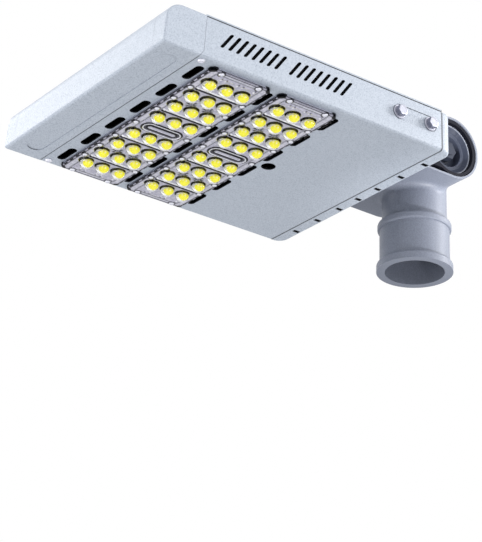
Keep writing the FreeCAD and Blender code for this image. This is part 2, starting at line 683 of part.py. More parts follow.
def add_arm_outline(sketch):
    """One arm: the eye's arc about the hinge, a tangent slope down to the foot and a level underside."""
    slope = "(Sizes.arm_slope * 1deg)"
    touch_x = f"Sizes.eye_radius * sin{slope}"
    touch_z = f"Sizes.hinge_height + Sizes.eye_radius * cos{slope}"
    corners = [
        (f"{touch_x} + ({touch_z} - Sizes.foot_high) / tan{slope}", "Sizes.foot_high"),
        (FOOT_FRONT, "Sizes.foot_high"),
        (FOOT_FRONT, "Sizes.foot_low"),
        (f"Sizes.arm_crotch + ({ARM_LOW} - Sizes.foot_low) / tan{slope}", "Sizes.foot_low"),
        ("Sizes.arm_crotch", ARM_LOW),
    ]
    radius = size("Sizes.eye_radius")
    slope_start = math.pi / 2 - math.radians(size("Sizes.arm_slope"))
    underside_end = 2 * math.pi - math.asin(size("Sizes.arm_drop") / radius)
    eye = Part.Circle(Vector(0, size("Sizes.hinge_height"), 0), Vector(0, 0, 1), radius)
    arc = Part.ArcOfCircle(eye, slope_start, underside_end)
    points = [arc.StartPoint] + [Vector(size(u), size(v), 0) for u, v in corners] + [arc.EndPoint]
    sketch.addGeometry([arc] + [Part.LineSegment(*ends) for ends in zip(points, points[1:])], False)
    underside = len(corners) + 1
    sketch.addConstraint(Sketcher.Constraint("Tangent", 0, 1, 1, 1))
    for line in range(1, underside):
        sketch.addConstraint(Sketcher.Constraint("Coincident", line, 2, line + 1, 1))
    sketch.addConstraint(Sketcher.Constraint("Coincident", underside, 2, 0, 2))
    sketch.addConstraint(Sketcher.Constraint("Horizontal", underside))
    pin_points(sketch, [(0, 3, HINGE)])
    rim = sketch.addConstraint(Sketcher.Constraint("Radius", 0, radius))
    sketch.setExpression(f"Constraints[{rim}]", "Sizes.eye_radius")
    pin_points(sketch, [(line, 2, point) for line, point in enumerate(corners, start=1)])
    return sketch


def add_foot_holes(sketch):
    """Cable hole and bolt holes that the foot plate and the frame share."""
    add_circle(sketch, ("0", "Sizes.cable_height"), "Sizes.cable_hole")
    return add_circles(sketch, FOOT_SPOTS, "Sizes.frame_bolt_radius + Sizes.play")


def tilt_fork():
    """Two arms with eyes on a foot plate, one casting."""
    body = new_body("tilt_fork")
    width = "2 * Sizes.arm_outer"
    pad(body, add_arm_outline(side_sketch(body)), width, middle=True)
    space = add_box(side_sketch(body), ("-2 * Sizes.eye_radius", "Sizes.foot_low - Sizes.foot_thickness"),
                    ("Sizes.foot_back", "Sizes.hinge_height + 2 * Sizes.eye_radius"))
    pocket(body, space, "2 * (Sizes.drum_half + Sizes.side_play)", middle=True)
    pocket(body, add_circle(side_sketch(body), HINGE, "Sizes.eye_bore"), width, middle=True)
    well = add_circle(side_sketch(body, "Sizes.arm_outer"), HINGE, "Sizes.cup_radius + Sizes.cup_gap")
    mirror(body, [pocket(body, well, "Sizes.arm_outer - Sizes.cup_seat", ahead=True)])
    pocket(body, add_foot_holes(cross_sketch(body, "Sizes.foot_back")), "Sizes.foot_thickness", ahead=True)
    return body


def foot_bolts():
    """Bolts through the foot plate and the frame, with their heads towards the pole."""
    body = new_body("foot_bolts")
    heads = cross_sketch(body, "Sizes.foot_back")
    for centre in FOOT_SPOTS:
        add_hexagon(heads, centre, "Sizes.frame_bolt_flats")
    pad(body, heads, "Sizes.frame_bolt_head", back=True)
    shanks = add_circles(cross_sketch(body, "Sizes.foot_back"), FOOT_SPOTS, "Sizes.frame_bolt_radius")
    pad(body, shanks, f"{WEB_FRONT} - Sizes.foot_back + Sizes.frame_nut + Sizes.frame_bolt_end")
    return body


def foot_nuts():
    """Nuts of the foot bolts, inside the frame."""
    body = new_body("foot_nuts")
    sketch = cross_sketch(body, WEB_FRONT)
    for centre in FOOT_SPOTS:
        add_hexagon(sketch, centre, "Sizes.frame_bolt_flats")
        add_circle(sketch, centre, "Sizes.frame_bolt_radius + Sizes.play")
    pad(body, sketch, "Sizes.frame_nut")
    return body


# Frame inside the head, and the bolts that show on the sides


def add_side_holes(body):
    """Holes of the frame bolts through both sides of a body."""
    sketch = add_circles(side_sketch(body), BOLT_SPOTS, "Sizes.frame_bolt_radius + Sizes.play")
    return pocket(body, sketch, f"2 * {HEAD_HALF}", middle=True)


def mounting_frame():
    """Bent strip inside the head that carries the fork and both sides of the tray."""
    body = new_body("mounting_frame")
    leg_end = f"{FOOT_FRONT} + Sizes.frame_leg"
    strip = add_polygon(level_sketch(body, "Sizes.frame_low"), [
        (FOOT_FRONT, f"-{INSIDE}"),
        (leg_end, f"-{INSIDE}"),
        (leg_end, f"-{LEG_INSIDE}"),
        (WEB_FRONT, f"-{LEG_INSIDE}"),
        (WEB_FRONT, LEG_INSIDE),
        (leg_end, LEG_INSIDE),
        (leg_end, INSIDE),
        (FOOT_FRONT, INSIDE),
    ])
    pad(body, strip, "Sizes.frame_high - Sizes.frame_low")
    back, corner = size(FOOT_FRONT), size(INSIDE)
    round_edges(body, lambda box: near(box.XMax, back) and near(from_middle(box), corner) and box.ZLength > 1,
                "2 * Sizes.frame_thickness")
    pocket(body, add_foot_holes(cross_sketch(body, FOOT_FRONT)), "Sizes.frame_thickness", ahead=True)
    add_side_holes(body)
    return body


def frame_washers():
    """Washers in the pressed recesses under the heads of the frame bolts."""
    body = new_body("frame_washers")
    sketch = add_circles(side_sketch(body, BOLT_SEAT), BOLT_SPOTS, "Sizes.frame_washer_radius")
    add_circles(sketch, BOLT_SPOTS, "Sizes.frame_bolt_radius + Sizes.play")
    mirror(body, [pad(body, sketch, "Sizes.frame_washer_thickness", back=True)])
    return body


def frame_bolts():
    """Hexagon bolts through the sides and the legs of the frame."""
    body = new_body("frame_bolts")
    seat = f"{BOLT_SEAT} + Sizes.frame_washer_thickness"
    heads = side_sketch(body, seat)
    for centre in BOLT_SPOTS:
        add_hexagon(heads, centre, "Sizes.frame_bolt_flats")
    head_pad = pad(body, heads, "Sizes.frame_bolt_head", back=True)
    shanks = add_circles(side_sketch(body, seat), BOLT_SPOTS, "Sizes.frame_bolt_radius")
    shank_pad = pad(body, shanks, f"{seat} - {LEG_INSIDE} + Sizes.frame_nut + Sizes.frame_bolt_end")
    mirror(body, [head_pad, shank_pad])
    return body


def frame_nuts():
    """Nuts of the frame bolts, inside the legs."""
    body = new_body("frame_nuts")
    sketch = side_sketch(body, LEG_INSIDE)
    for centre in BOLT_SPOTS:
        add_hexagon(sketch, centre, "Sizes.frame_bolt_flats")
        add_circle(sketch, centre, "Sizes.frame_bolt_radius + Sizes.play")
    mirror(body, [pad(body, sketch, "Sizes.frame_nut")])
    return body


# Head box


def tray_sheet(body):
    """Floor, two sides and their returned flanges, folded from one sheet."""
    flange = f"({HEAD_HALF} - Sizes.flange_width)"
    under = f"({SIDE_TOP} - Sizes.sheet)"
    right = [
        (HEAD_HALF, PANEL),
        (HEAD_HALF, SIDE_TOP),
        (flange, SIDE_TOP),
        (flange, under),
        (INSIDE, under),
        (INSIDE, FLOOR),
    ]
    left = [(f"-{y}", z) for y, z in reversed(right)]
    pad(body, add_polygon(cross_sketch(body, TRAY_REAR), right + left),
        f"Sizes.nose_seam_low - Sizes.seam_gap / 2 - {TRAY_REAR}")

    def fold(side, height, radius):
        y, z = size(side), size(height)
        round_edges(body, lambda box: box.XLength > 1 and near(from_middle(box), y)
                    and near(box.ZMin, z) and near(box.ZMax, z), radius)

    fold(HEAD_HALF, PANEL, "Sizes.bend_radius")
    fold(INSIDE, FLOOR, "Sizes.bend_radius - Sizes.sheet")
    fold(HEAD_HALF, SIDE_TOP, "Sizes.cover_edge")


def nose_seam(shift, top):
    """Seam line of the nose seen from the side, moved along X."""
    return [
        (f"Sizes.nose_seam_low {shift}", PANEL),
        (f"Sizes.nose_seam_side {shift}", "Sizes.panel_height + Sizes.nose_seam_rise"),
        (f"Sizes.nose_seam_top {shift}", top),
    ]


def floor_holes(body):
    """Openings of the modules with their screw holes, the round hole and the nose's screw holes."""
    sketch = level_sketch(body, PANEL)
    for middle in (FRONT_MODULE, REAR_MODULE):
        add_centred_box(sketch, "(Sizes.sink_width + 2 * Sizes.sink_play)",
                        "(Sizes.sink_length + 2 * Sizes.sink_play)", (middle, "0"))
        spots = [(f"{middle} + {x}", y) for x, y in PLATE_SPOTS]
        add_circles(sketch, spots, "Sizes.plate_screw_radius + Sizes.play")
    add_circle(sketch, ("Sizes.hole_x", "0"), "Sizes.hole_radius")
    add_circles(sketch, NOSE_SPOTS, "Sizes.button_shank + Sizes.play")
    pocket(body, sketch, "Sizes.sheet", ahead=True)


def vent_slots(body):
    """Three rows of six slots beside and between the modules."""
    sketch = level_sketch(body, PANEL)
    half_run = "(Sizes.vent_length - Sizes.vent_width) / 2"
    row_x = f"{REAR_MODULE} - Sizes.vent_offset"
    for k in range(-3, 3):
        middle = f"{k + 0.5} * Sizes.vent_pitch"
        add_slot(sketch, (row_x, f"{middle} - {half_run}"), (row_x, f"{middle} + {half_run}"),
                 "Sizes.vent_width / 2")
    row_of(body, [pocket(body, sketch, "Sizes.sheet", ahead=True)], "X_Axis", "2 * Sizes.module_pitch", "3")


def side_louvres(body):
    """Two groups of eight slanted slots, the same in both sides."""
    sketch = side_sketch(body)
    half = "Sizes.louvre_width / 2"
    shift = "Sizes.louvre_tip * Sizes.louvre_lean / (Sizes.louvre_high - Sizes.louvre_low)"
    for k in range(8):
        low_x = f"({REAR_MODULE} + Sizes.louvre_front - {k} * Sizes.louvre_pitch)"
        high_x = f"({low_x} - Sizes.louvre_lean)"
        add_polygon(sketch, [
            (f"{low_x} - {half} / 2", "Sizes.louvre_low"),
            (f"{low_x} + {half} / 2", "Sizes.louvre_low"),
            (f"{low_x} + {half} - {shift}", "Sizes.louvre_low + Sizes.louvre_tip"),
            (f"{high_x} + {half} + {shift}", "Sizes.louvre_high - Sizes.louvre_tip"),
            (f"{high_x} + {half} / 2", "Sizes.louvre_high"),
            (f"{high_x} - {half} / 2", "Sizes.louvre_high"),
            (f"{high_x} - {half} + {shift}", "Sizes.louvre_high - Sizes.louvre_tip"),
            (f"{low_x} - {half} - {shift}", "Sizes.louvre_low + Sizes.louvre_tip"),
        ])
    group = pocket(body, sketch, f"2 * {HEAD_HALF}", middle=True)
    row_of(body, [group], "X_Axis", "Sizes.module_pitch", "2")


def bolt_recesses(body):
    """Pressed recess round the two frame bolts on each side."""
    sketch = side_sketch(body, HEAD_HALF)
    middle = "(Sizes.frame_bolt_front + Sizes.frame_bolt_rear) / 2"
    run = "(Sizes.pad_length - Sizes.pad_width) / 2"
    add_slot(sketch, (f"{middle} - {run}", "Sizes.frame_bolt_height"),
             (f"{middle} + {run}", "Sizes.frame_bolt_height"), "Sizes.pad_width / 2")
    mirror(body, [pocket(body, sketch, "Sizes.pad_depth", ahead=True)])


def housing_tray():
    """Folded sheet with openings for the modules, slots, slanted side vents and bolt recesses."""
    body = new_body("housing_tray")
    tray_sheet(body)
    beyond = [("Sizes.nose_front", "Sizes.head_top"), ("Sizes.nose_front", PANEL)]
    end = add_polygon(side_sketch(body), nose_seam("- Sizes.seam_gap / 2", "Sizes.head_top") + beyond)
    pocket(body, end, f"2 * {HEAD_HALF}", middle=True)
    floor_holes(body)
    vent_slots(body)
    side_louvres(body)
    bolt_recesses(body)
    add_side_holes(body)
    holes = add_circles(level_sketch(body, SIDE_TOP), COVER_SPOTS, "Sizes.button_shank + Sizes.play")
    pocket(body, holes, "Sizes.sheet")
    return body


def nose_cap():
    """Moulded nose: a shell open to the rear, with two tabs that reach over the tray's floor."""
    body = new_body("nose_cap")
    brow_x = "(Sizes.nose_front - Sizes.nose_lean)"
    outline = nose_seam("+ Sizes.seam_gap / 2", CAP_TOP) + [(brow_x, CAP_TOP), ("Sizes.nose_front", PANEL)]
    pad(body, add_polygon(side_sketch(body), outline), f"2 * {HEAD_HALF}", middle=True)
    side, top, low = size(HEAD_HALF), size(CAP_TOP), size(PANEL)
    brow, seam = size(brow_x), size("Sizes.nose_seam_low + Sizes.seam_gap / 2")
    round_edges(body, lambda box: near(box.ZMin, top) and near(box.XMin, brow) and box.YLength > 1,
                "Sizes.nose_round")
    round_edges(body, lambda box: near(from_middle(box), side) and box.YLength < 0.01
                and box.ZMax > low + 1 and box.XMax > seam + 1, "Sizes.nose_corner")
    round_edges(body, lambda box: near(box.ZMax, low) and box.XMax > seam + 1, "Sizes.cap_edge")
    arc_x = f"({brow_x} - Sizes.nose_round)"
    arc_z = f"({CAP_TOP} - Sizes.nose_round)"
    bend = "(Sizes.nose_round - Sizes.cap_wall)"
    behind = "(2 * Sizes.nose_seam_top - Sizes.nose_seam_low)"
    hollow = add_polygon(side_sketch(body), [
        (behind, f"{PANEL} + Sizes.cap_wall"),
        (f"{arc_x} + {bend}", f"{PANEL} + Sizes.cap_wall"),
        (f"{arc_x} + {bend}", arc_z),
        (f"{arc_x} + {bend} * cos(45deg)", f"{arc_z} + {bend} * sin(45deg)"),
        (arc_x, f"{CAP_TOP} - Sizes.cap_wall"),
        (behind, f"{CAP_TOP} - Sizes.cap_wall"),
    ])
    pocket(body, hollow, f"2 * ({HEAD_HALF} - Sizes.cap_wall)", middle=True)
    run = f"({HEAD_HALF} - Sizes.field_inset - Sizes.field_width / 2)"
    field = add_slot(level_sketch(body, PANEL), ("Sizes.field_x", f"-{run}"), ("Sizes.field_x", run),
                     "Sizes.field_width / 2")
    pocket(body, field, "Sizes.field_depth", ahead=True)
    tabs = level_sketch(body, FLOOR)
    for sign in BOTH_SIDES:
        middle = f"{sign}({HEAD_HALF} - Sizes.nose_screw_inset - Sizes.tab_offset)"
        add_box(tabs, ("Sizes.nose_seam_low - Sizes.tab_reach", f"{middle} - Sizes.tab_width / 2"),
                ("Sizes.field_x", f"{middle} + Sizes.tab_width / 2"))
    pad(body, tabs, "Sizes.tab_thickness")
    holes = add_circles(level_sketch(body, FLOOR), NOSE_SPOTS, "Sizes.button_shank + Sizes.play")
    pocket(body, holes, "Sizes.tab_thickness", ahead=True)
    return body


def rear_cap_block(body):
    """Outside of the rear cap with its rounded corners and edges."""
    block = add_box(level_sketch(body, PANEL), ("Sizes.head_rear", f"-{HEAD_HALF}"),
                    (CAP_FRONT, HEAD_HALF))
    pad(body, block, f"{CAP_TOP} - {PANEL}")
    rear, side, front = size("Sizes.head_rear"), size(HEAD_HALF), size(CAP_FRONT)
    round_edges(body, lambda box: near(box.XMax, rear) and near(from_middle(box), side) and box.ZLength > 1,
                "Sizes.rear_corner")

    def rim(height, radius):
        z = size(height)
        round_edges(body, lambda box: near(box.ZMin, z) and near(box.ZMax, z) and box.XMin < front - 0.1, radius)

    rim(CAP_TOP, "Sizes.rear_edge")
    rim(PANEL, "Sizes.cap_edge")


def rear_cap():
    """Moulded rear end, with windows for the fork's arms, a cable hole and drain slots."""
    body = new_body("rear_cap")
    rear_cap_block(body)
    back = "(Sizes.head_rear + Sizes.cap_wall)"
    flank = f"({HEAD_HALF} - Sizes.cap_wall)"
    bevel = "(Sizes.rear_corner - Sizes.cap_wall / 2)"
    bevel_end = f"{back} + {bevel}"
    hollow = add_polygon(level_sketch(body, f"{PANEL} + Sizes.cap_wall"), [
        (back, f"-({flank} - {bevel})"),
        (bevel_end, f"-{flank}"),
        ("Sizes.rear_seam", f"-{flank}"),
        ("Sizes.rear_seam", flank),
        (bevel_end, flank),
        (back, f"{flank} - {bevel}"),
    ])
    pocket(body, hollow, f"{CAP_TOP} - {PANEL} - 2 * Sizes.cap_wall", ahead=True)
    windows = cross_sketch(body, "Sizes.head_rear")
    for sign in BOTH_SIDES:
        middle = f"{sign}(Sizes.drum_half + Sizes.arm_outer) / 2"
        add_centred_box(windows, "(Sizes.arm_outer - Sizes.drum_half + 2 * Sizes.window_clear)",
                        "(Sizes.foot_high - Sizes.foot_low + 2 * Sizes.window_clear)",
                        (middle, "(Sizes.foot_high + Sizes.foot_low) / 2"))
    add_circle(windows, ("0", "Sizes.cable_height"), "Sizes.cable_hole")
    pocket(body, windows, "Sizes.rear_corner", ahead=True)
    drains = level_sketch(body, PANEL)
    places = [f"{sign}(Sizes.drain_near + {k} * Sizes.drain_pitch)" for sign in BOTH_SIDES for k in range(3)]
    for place in ["0"] + places:
        add_centred_box(drains, "Sizes.drain_length", "Sizes.drain_width", ("Sizes.drain_x", place))
    pocket(body, drains, "Sizes.cap_wall", ahead=True)
    return body


def top_cover():
    """Flat lid on the tray's flanges."""
    body = new_body("top_cover")
    front = "(Sizes.nose_seam_top - Sizes.seam_gap / 2)"
    sheet = add_box(level_sketch(body, SIDE_TOP), (TRAY_REAR, f"-{HEAD_HALF}"), (front, HEAD_HALF))
    pad(body, sheet, "Sizes.cover_thickness")
    top, side = size("Sizes.head_top"), size(HEAD_HALF)
    round_edges(body, lambda box: near(box.ZMin, top) and near(from_middle(box), side) and box.XLength > 1,
                "Sizes.cover_edge")
    holes = add_circles(level_sketch(body, "Sizes.head_top"), COVER_SPOTS, "Sizes.button_shank + Sizes.play")
    pocket(body, holes, "Sizes.cover_thickness")
    return body


def cover_screws():
    """Button screws through the cover into the flanges."""
    body = new_body("cover_screws")
    heads = add_circles(level_sketch(body, "Sizes.head_top"), COVER_SPOTS, "Sizes.button_radius")
    pad(body, heads, "Sizes.button_height")
    shanks = add_circles(level_sketch(body, "Sizes.head_top"), COVER_SPOTS, "Sizes.button_shank")
    pad(body, shanks, "Sizes.cover_thickness + Sizes.sheet + Sizes.cover_screw_end", back=True)
    return body


def nose_screws():
    """Button screws through the tray's floor into the nose's tabs."""
    body = new_body("nose_screws")
    heads = add_circles(level_sketch(body, PANEL), NOSE_SPOTS, "Sizes.button_radius")
    pad(body, heads, "Sizes.button_height", back=True)
    shanks = add_circles(level_sketch(body, PANEL), NOSE_SPOTS, "Sizes.button_shank")
    pad(body, shanks, "Sizes.sheet + Sizes.tab_thickness")
    return body


def cable_grommet():
    """Rubber ring in the rear wall where the cable goes in."""
    body = new_body("cable_grommet")
    outer, inner = "Sizes.head_rear", "(Sizes.head_rear + Sizes.cap_wall)"
    neck = "Sizes.cable_hole - Sizes.play"
    profile = add_polygon(new_sketch(body, "XZ_Plane", origin=("0", "Sizes.cable_height")), [
        (f"{outer} - Sizes.grommet_lip", "Sizes.grommet_bore"),
        (f"{outer} - Sizes.grommet_lip", "Sizes.grommet_flange"),
        (outer, "Sizes.grommet_flange"),
        (outer, neck),
        (inner, neck),
        (inner, "Sizes.grommet_flange"),
        (f"{inner} + Sizes.grommet_lip", "Sizes.grommet_flange"),
        (f"{inner} + Sizes.grommet_lip", "Sizes.grommet_bore"),
    ])
    revolve(body, profile, "H_Axis")
    return body


# Light modules: two of each piece, built about their own centre and set along X


def plate_outline(body, height):
    """Outline that the heatsink's flange and the lens plate share, with its screw holes."""
    sketch = add_cut_box(level_sketch(body, height), PLATE_WIDTH, PLATE_LENGTH, "Sizes.plate_corner")
    return add_circles(sketch, PLATE_SPOTS, "Sizes.plate_screw_radius + Sizes.play")


def heatsink(label, forward):
    """Cast heatsink: a flange under the panel, a base through the opening and upright fins."""
    body = new_body(label, forward)
    pad(body, plate_outline(body, SINK_FACE), "Sizes.sink_flange")
    base = add_centred_box(level_sketch(body, PANEL), "Sizes.sink_width", "Sizes.sink_length")
    pad(body, base, f"Sizes.sink_deck - {PANEL}")
    run = "(Sizes.sink_length - Sizes.fin_thickness)"
    fin = add_centred_box(level_sketch(body, "Sizes.sink_deck"), "Sizes.sink_width", "Sizes.fin_thickness",
                          ("0", f"-{run} / 2"))
    row_of(body, [pad(body, fin, "Sizes.fin_top - Sizes.sink_deck")], "Y_Axis", run, "Sizes.fin_count")
    return body


def gasket(label, forward):
    """Seal ring between the heatsink's flange and the lens plate."""
    body = new_body(label, forward)
    ring = add_centred_box(level_sketch(body, GASKET_FACE), CAVITY_WIDTH, CAVITY_LENGTH)
    add_centred_box(ring, f"({CAVITY_WIDTH} + 2 * Sizes.gasket_width)",
                    f"({CAVITY_LENGTH} + 2 * Sizes.gasket_width)")
    pad(body, ring, "Sizes.gasket_thickness")
    return body


def led_board(label, forward):
    """Circuit board flat against the heatsink."""
    body = new_body(label, forward)
    board = add_centred_box(level_sketch(body, SINK_FACE), f"({CAVITY_WIDTH} - 2 * Sizes.board_play)",
                            f"({CAVITY_LENGTH} - 2 * Sizes.board_play)")
    pad(body, board, "Sizes.board_thickness", back=True)
    return body


def led_chips(label, forward):
    """Light chips on the board, one under each lens."""
    body = new_body(label, forward)
    sketch = level_sketch(body, f"{SINK_FACE} - Sizes.board_thickness")
    for centre in LENS_SPOTS:
        add_centred_box(sketch, "Sizes.chip_side", "Sizes.chip_side", centre)
    pad(body, sketch, "Sizes.chip_height", back=True)
    return body


def lens_plate(label, forward):
    """Clear moulded plate: a flange, a raised deck over the board and 24 lens domes."""
    body = new_body(label, forward)
    pad(body, plate_outline(body, PLATE_FACE), "Sizes.plate_flange")
    deck = add_centred_box(level_sketch(body, PLATE_FACE), "Sizes.deck_width", DECK_LENGTH)
    pad(body, deck, "Sizes.deck_drop", back=True, slope="Sizes.deck_slope")
    ribs = level_sketch(body, DECK_FACE)
    for y in LENS_RIBS:
        add_centred_box(ribs, "Sizes.deck_width", "Sizes.rib_width", ("0", y))
    pocket(body, ribs, "Sizes.rib_depth", ahead=True)
    track = add_cut_box(level_sketch(body, DECK_FACE), "Sizes.track_length", "Sizes.track_width",
                        "Sizes.track_corner")
    add_cut_box(track, "(Sizes.track_length - 2 * Sizes.track_wall)",
                "(Sizes.track_width - 2 * Sizes.track_wall)", "Sizes.track_corner / 2")
    pad(body, track, "Sizes.track_height", back=True)
    domes = level_sketch(body, PLATE_FACE)
    for y in LENS_ROWS:
        add_ring_of_sides(domes, (LENS_COLUMNS[0], y), "Sizes.dome_radius", int(size("Sizes.dome_sides")))
    column = pad(body, domes, "Sizes.dome_height", back=True, slope="Sizes.dome_slope")
    row_of(body, [column], "X_Axis", "2 * Sizes.column_pitch", "3")
    cavity = add_centred_box(level_sketch(body, f"{DECK_FACE} + Sizes.deck_wall"), CAVITY_WIDTH, CAVITY_LENGTH)
    pocket(body, cavity, "Sizes.plate_flange + Sizes.deck_drop", ahead=True)
    return body


def plate_screws(label, forward):
    """Corner screws through the lens plate and the heatsink's flange into the panel."""
    body = new_body(label, forward)
    heads = add_circles(level_sketch(body, PLATE_FACE), PLATE_SPOTS, "Sizes.plate_screw_head")
    pad(body, heads, "Sizes.plate_screw_height", back=True)
    shanks = add_circles(level_sketch(body, PLATE_FACE), PLATE_SPOTS, "Sizes.plate_screw_radius")
    pad(body, shanks, f"{FLOOR} - {PLATE_FACE} + Sizes.plate_screw_end")
    return body


# Pieces on the gear plate


def gear_plate():
    """Sheet on the tray's floor that carries the driver and its neighbours."""
    body = new_body("gear_plate")
    sheet = add_box(level_sketch(body, FLOOR), ("Sizes.gear_rear", f"-{GEAR_HALF}"),
                    ("Sizes.gear_front", GEAR_HALF))
    pad(body, sheet, "Sizes.gear_sheet")
    return body


def gear_box(label, start, length, height):
    """Closed case on the gear plate with rounded upright edges."""
    body = new_body(label)
    case = add_box(level_sketch(body, GEAR_TOP), (GEAR_BACK, start),
                   ("Sizes.gear_front - Sizes.gear_gap", f"{start} + {length}"))
    pad(body, case, height)
    round_edges(body, lambda box: box.ZLength > 1, "Sizes.driver_round")
    return body


def terminal_block():
    """Terminal block with a well over each of its three clamp screws."""
    body = new_body("terminal_block")
    block = add_box(level_sketch(body, GEAR_TOP), (GEAR_BACK, TERMINAL_START),
                    (f"{GEAR_BACK} + Sizes.terminal_depth", f"{TERMINAL_START} + 3 * Sizes.terminal_pole"))
    pad(body, block, "Sizes.terminal_height")
    spots = [(f"{GEAR_BACK} + Sizes.terminal_depth / 2", f"{TERMINAL_START} + {k + 0.5} * Sizes.terminal_pole")
             for k in range(3)]
    wells = add_circles(level_sketch(body, f"{GEAR_TOP} + Sizes.terminal_height"), spots, "Sizes.terminal_well")
    pocket(body, wells, "Sizes.terminal_height / 2")
    return body


def build_all():
    """Every piece of the light, as a list of bodies."""
    bodies = [make() for make in (
        pole_fitter, set_screws, clamp_cups, pivot_bolt, pivot_nut, pivot_washers, tilt_fork, foot_bolts,
        foot_nuts, mounting_frame, frame_bolts, frame_washers, frame_nuts, housing_tray, nose_cap, rear_cap,
        top_cover, cover_screws, nose_screws, cable_grommet, gear_plate, terminal_block,
    )]
    bodies.append(gear_box("driver", DRIVER_START, DRIVER_LENGTH, "Sizes.driver_height"))
    bodies.append(gear_box("surge_protector", SURGE_START, "Sizes.surge_length", "Sizes.surge_height"))
    module = (heatsink, gasket, led_board, led_chips, lens_plate, plate_screws)
    for place, forward in (("front", FRONT_MODULE), ("rear", REAR_MODULE)):
        bodies += [make(f"{make.__name__}_{place}", forward) for make in module]
    return bodies


def check_document():
    """Stop if any object of the document failed."""
    for item in doc.Objects:
        if "Invalid" in item.State or "Error" in item.State:
            raise RuntimeError(f"{item.Name} failed: {item.State}")


def write_bodies(bodies):
    """Check each piece and write it to its own file."""
    os.makedirs("parts", exist_ok=True)
    for body in bodies:
        if body.Shape.isNull() or not body.Shape.isValid():
            raise RuntimeError(f"{body.Label} has no valid shape")
    for body in bodies:
        body.Shape.exportStep(f"parts/{body.Label}.step")
        box = body.Shape.BoundBox
        print(f"{body.Label}: {len(body.Shape.Solids)} solids, X {box.XMin:.1f} to {box.XMax:.1f}, "
              f"Y {box.YMin:.1f} to {box.YMax:.1f}, Z {box.ZMin:.1f} to {box.ZMax:.1f}")


pieces = build_all()
doc.recompute()
check_document()
write_bodies(pieces)
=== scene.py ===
# %% [markdown]
# # A street light head, seen from below
# The CAD model gives every rigid piece its place and size. This file gives them their finishes and adds
# what is too fine for the CAD: moulded lenses, screw heads, ribs and marks. All lengths here are metres,
# in the CAD's own frame: X towards the nose of the head, Y across it, Z up the pole.

import math

import bmesh
import bpy
import numpy as np
from mathutils import Matrix, Vector


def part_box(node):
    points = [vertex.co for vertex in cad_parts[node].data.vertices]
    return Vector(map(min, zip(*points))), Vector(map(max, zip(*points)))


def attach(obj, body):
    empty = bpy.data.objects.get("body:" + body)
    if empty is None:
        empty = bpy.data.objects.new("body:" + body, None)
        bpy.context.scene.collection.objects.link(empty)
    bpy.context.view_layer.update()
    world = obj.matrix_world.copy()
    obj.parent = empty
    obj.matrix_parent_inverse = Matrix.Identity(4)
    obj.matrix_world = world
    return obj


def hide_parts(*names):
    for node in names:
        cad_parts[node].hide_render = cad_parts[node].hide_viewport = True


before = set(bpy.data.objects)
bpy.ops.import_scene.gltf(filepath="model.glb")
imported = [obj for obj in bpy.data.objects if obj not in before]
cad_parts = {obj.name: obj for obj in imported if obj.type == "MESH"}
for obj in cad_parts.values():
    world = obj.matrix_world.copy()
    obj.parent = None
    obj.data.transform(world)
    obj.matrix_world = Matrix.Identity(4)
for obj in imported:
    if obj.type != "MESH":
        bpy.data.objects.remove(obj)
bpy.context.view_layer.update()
MM = 0.001

# %% [markdown]
# ## Camera
# A photograph fixes its camera: where it stood, what it looked at, how far it leaned and how long its lens
# was. They could be found by eye, but the two grids of lenses are regular, so a camera was fitted to them
# and only the four results are kept here. It stands below the head and looks up.

# %% Camera
CAMERA_PLACE = Vector((1.3002, 1.4632, -0.8635))
CAMERA_TARGET = Vector((0.1817, -0.0554, -0.0316))
CAMERA_LEAN = math.radians(1.642)
SENSOR_WIDTH_MM = 36.0
LENS_MM = 154.43

camera_data = bpy.data.cameras.new("camera")
camera_data.sensor_fit = "HORIZONTAL"
camera_data.sensor_width = SENSOR_WIDTH_MM
camera_data.lens = LENS_MM
camera = bpy.data.objects.new("camera", camera_data)
bpy.context.scene.collection.objects.link(camera)
bpy.context.scene.camera = camera
look = (CAMERA_TARGET - CAMERA_PLACE).to_track_quat("-Z", "Y")
lean = Matrix.Rotation(CAMERA_LEAN, 4, "Z")
camera.matrix_world = Matrix.Translation(CAMERA_PLACE) @ look.to_matrix().to_4x4() @ lean
print("camera to target", round((CAMERA_TARGET - CAMERA_PLACE).length, 3))

# %% [markdown]
# ## Surfaces from arrays
# Every new piece is a grid of points that a formula gives in one go, and the faces join neighbours on the
# grid. Modelling by hand would also do, but a formula can be read, checked and changed in one place.

# %% Grids and turned shapes


def grid_faces(rows, columns, closed=True):
    """Faces between neighbours of a grid; a closed grid joins its last column to its first."""
    i, j = np.meshgrid(np.arange(rows - 1), np.arange(columns if closed else columns - 1), indexing="ij")
    after = (j + 1) % columns
    corners = [i * columns + j, i * columns + after, (i + 1) * columns + after, (i + 1) * columns + j]
    return np.stack(corners, -1).reshape(-1, 4)


def turned(profile, count=32, wave=None):
    """Point (i, j) is at radius r[i], height h[i] and angle 2 pi j / count; wave(r, angle) adds height."""
    radius, height = np.asarray(profile, float).T
    r, angle = np.meshgrid(radius, np.linspace(0, 2 * np.pi, count, endpoint=False), indexing="ij")
    z = np.repeat(height[:, None], count, axis=1)
    if wave is not None:
        z = z + wave(r, angle)
    points = np.stack([r * np.cos(angle), r * np.sin(angle), z], -1).reshape(-1, 3)
    return points, grid_faces(len(radius), count)


def copies(shape, spots):
    """The same shape at each spot: point + spot, with the face numbers moved on by one shape each time."""
    points, faces = shape
    spots = np.asarray(spots, float)
    moved = (points[None] + spots[:, None]).reshape(-1, 3)
    steps = np.arange(len(spots))[:, None, None] * len(points)
    return moved, (faces[None] + steps).reshape(-1, 4)


def together(*shapes):
    """Several shapes as one, their face numbers counted on."""
    starts = np.cumsum([0] + [len(points) for points, _ in shapes[:-1]])
    points = np.concatenate([points for points, _ in shapes])
    return points, np.concatenate([faces + start for (_, faces), start in zip(shapes, starts)])


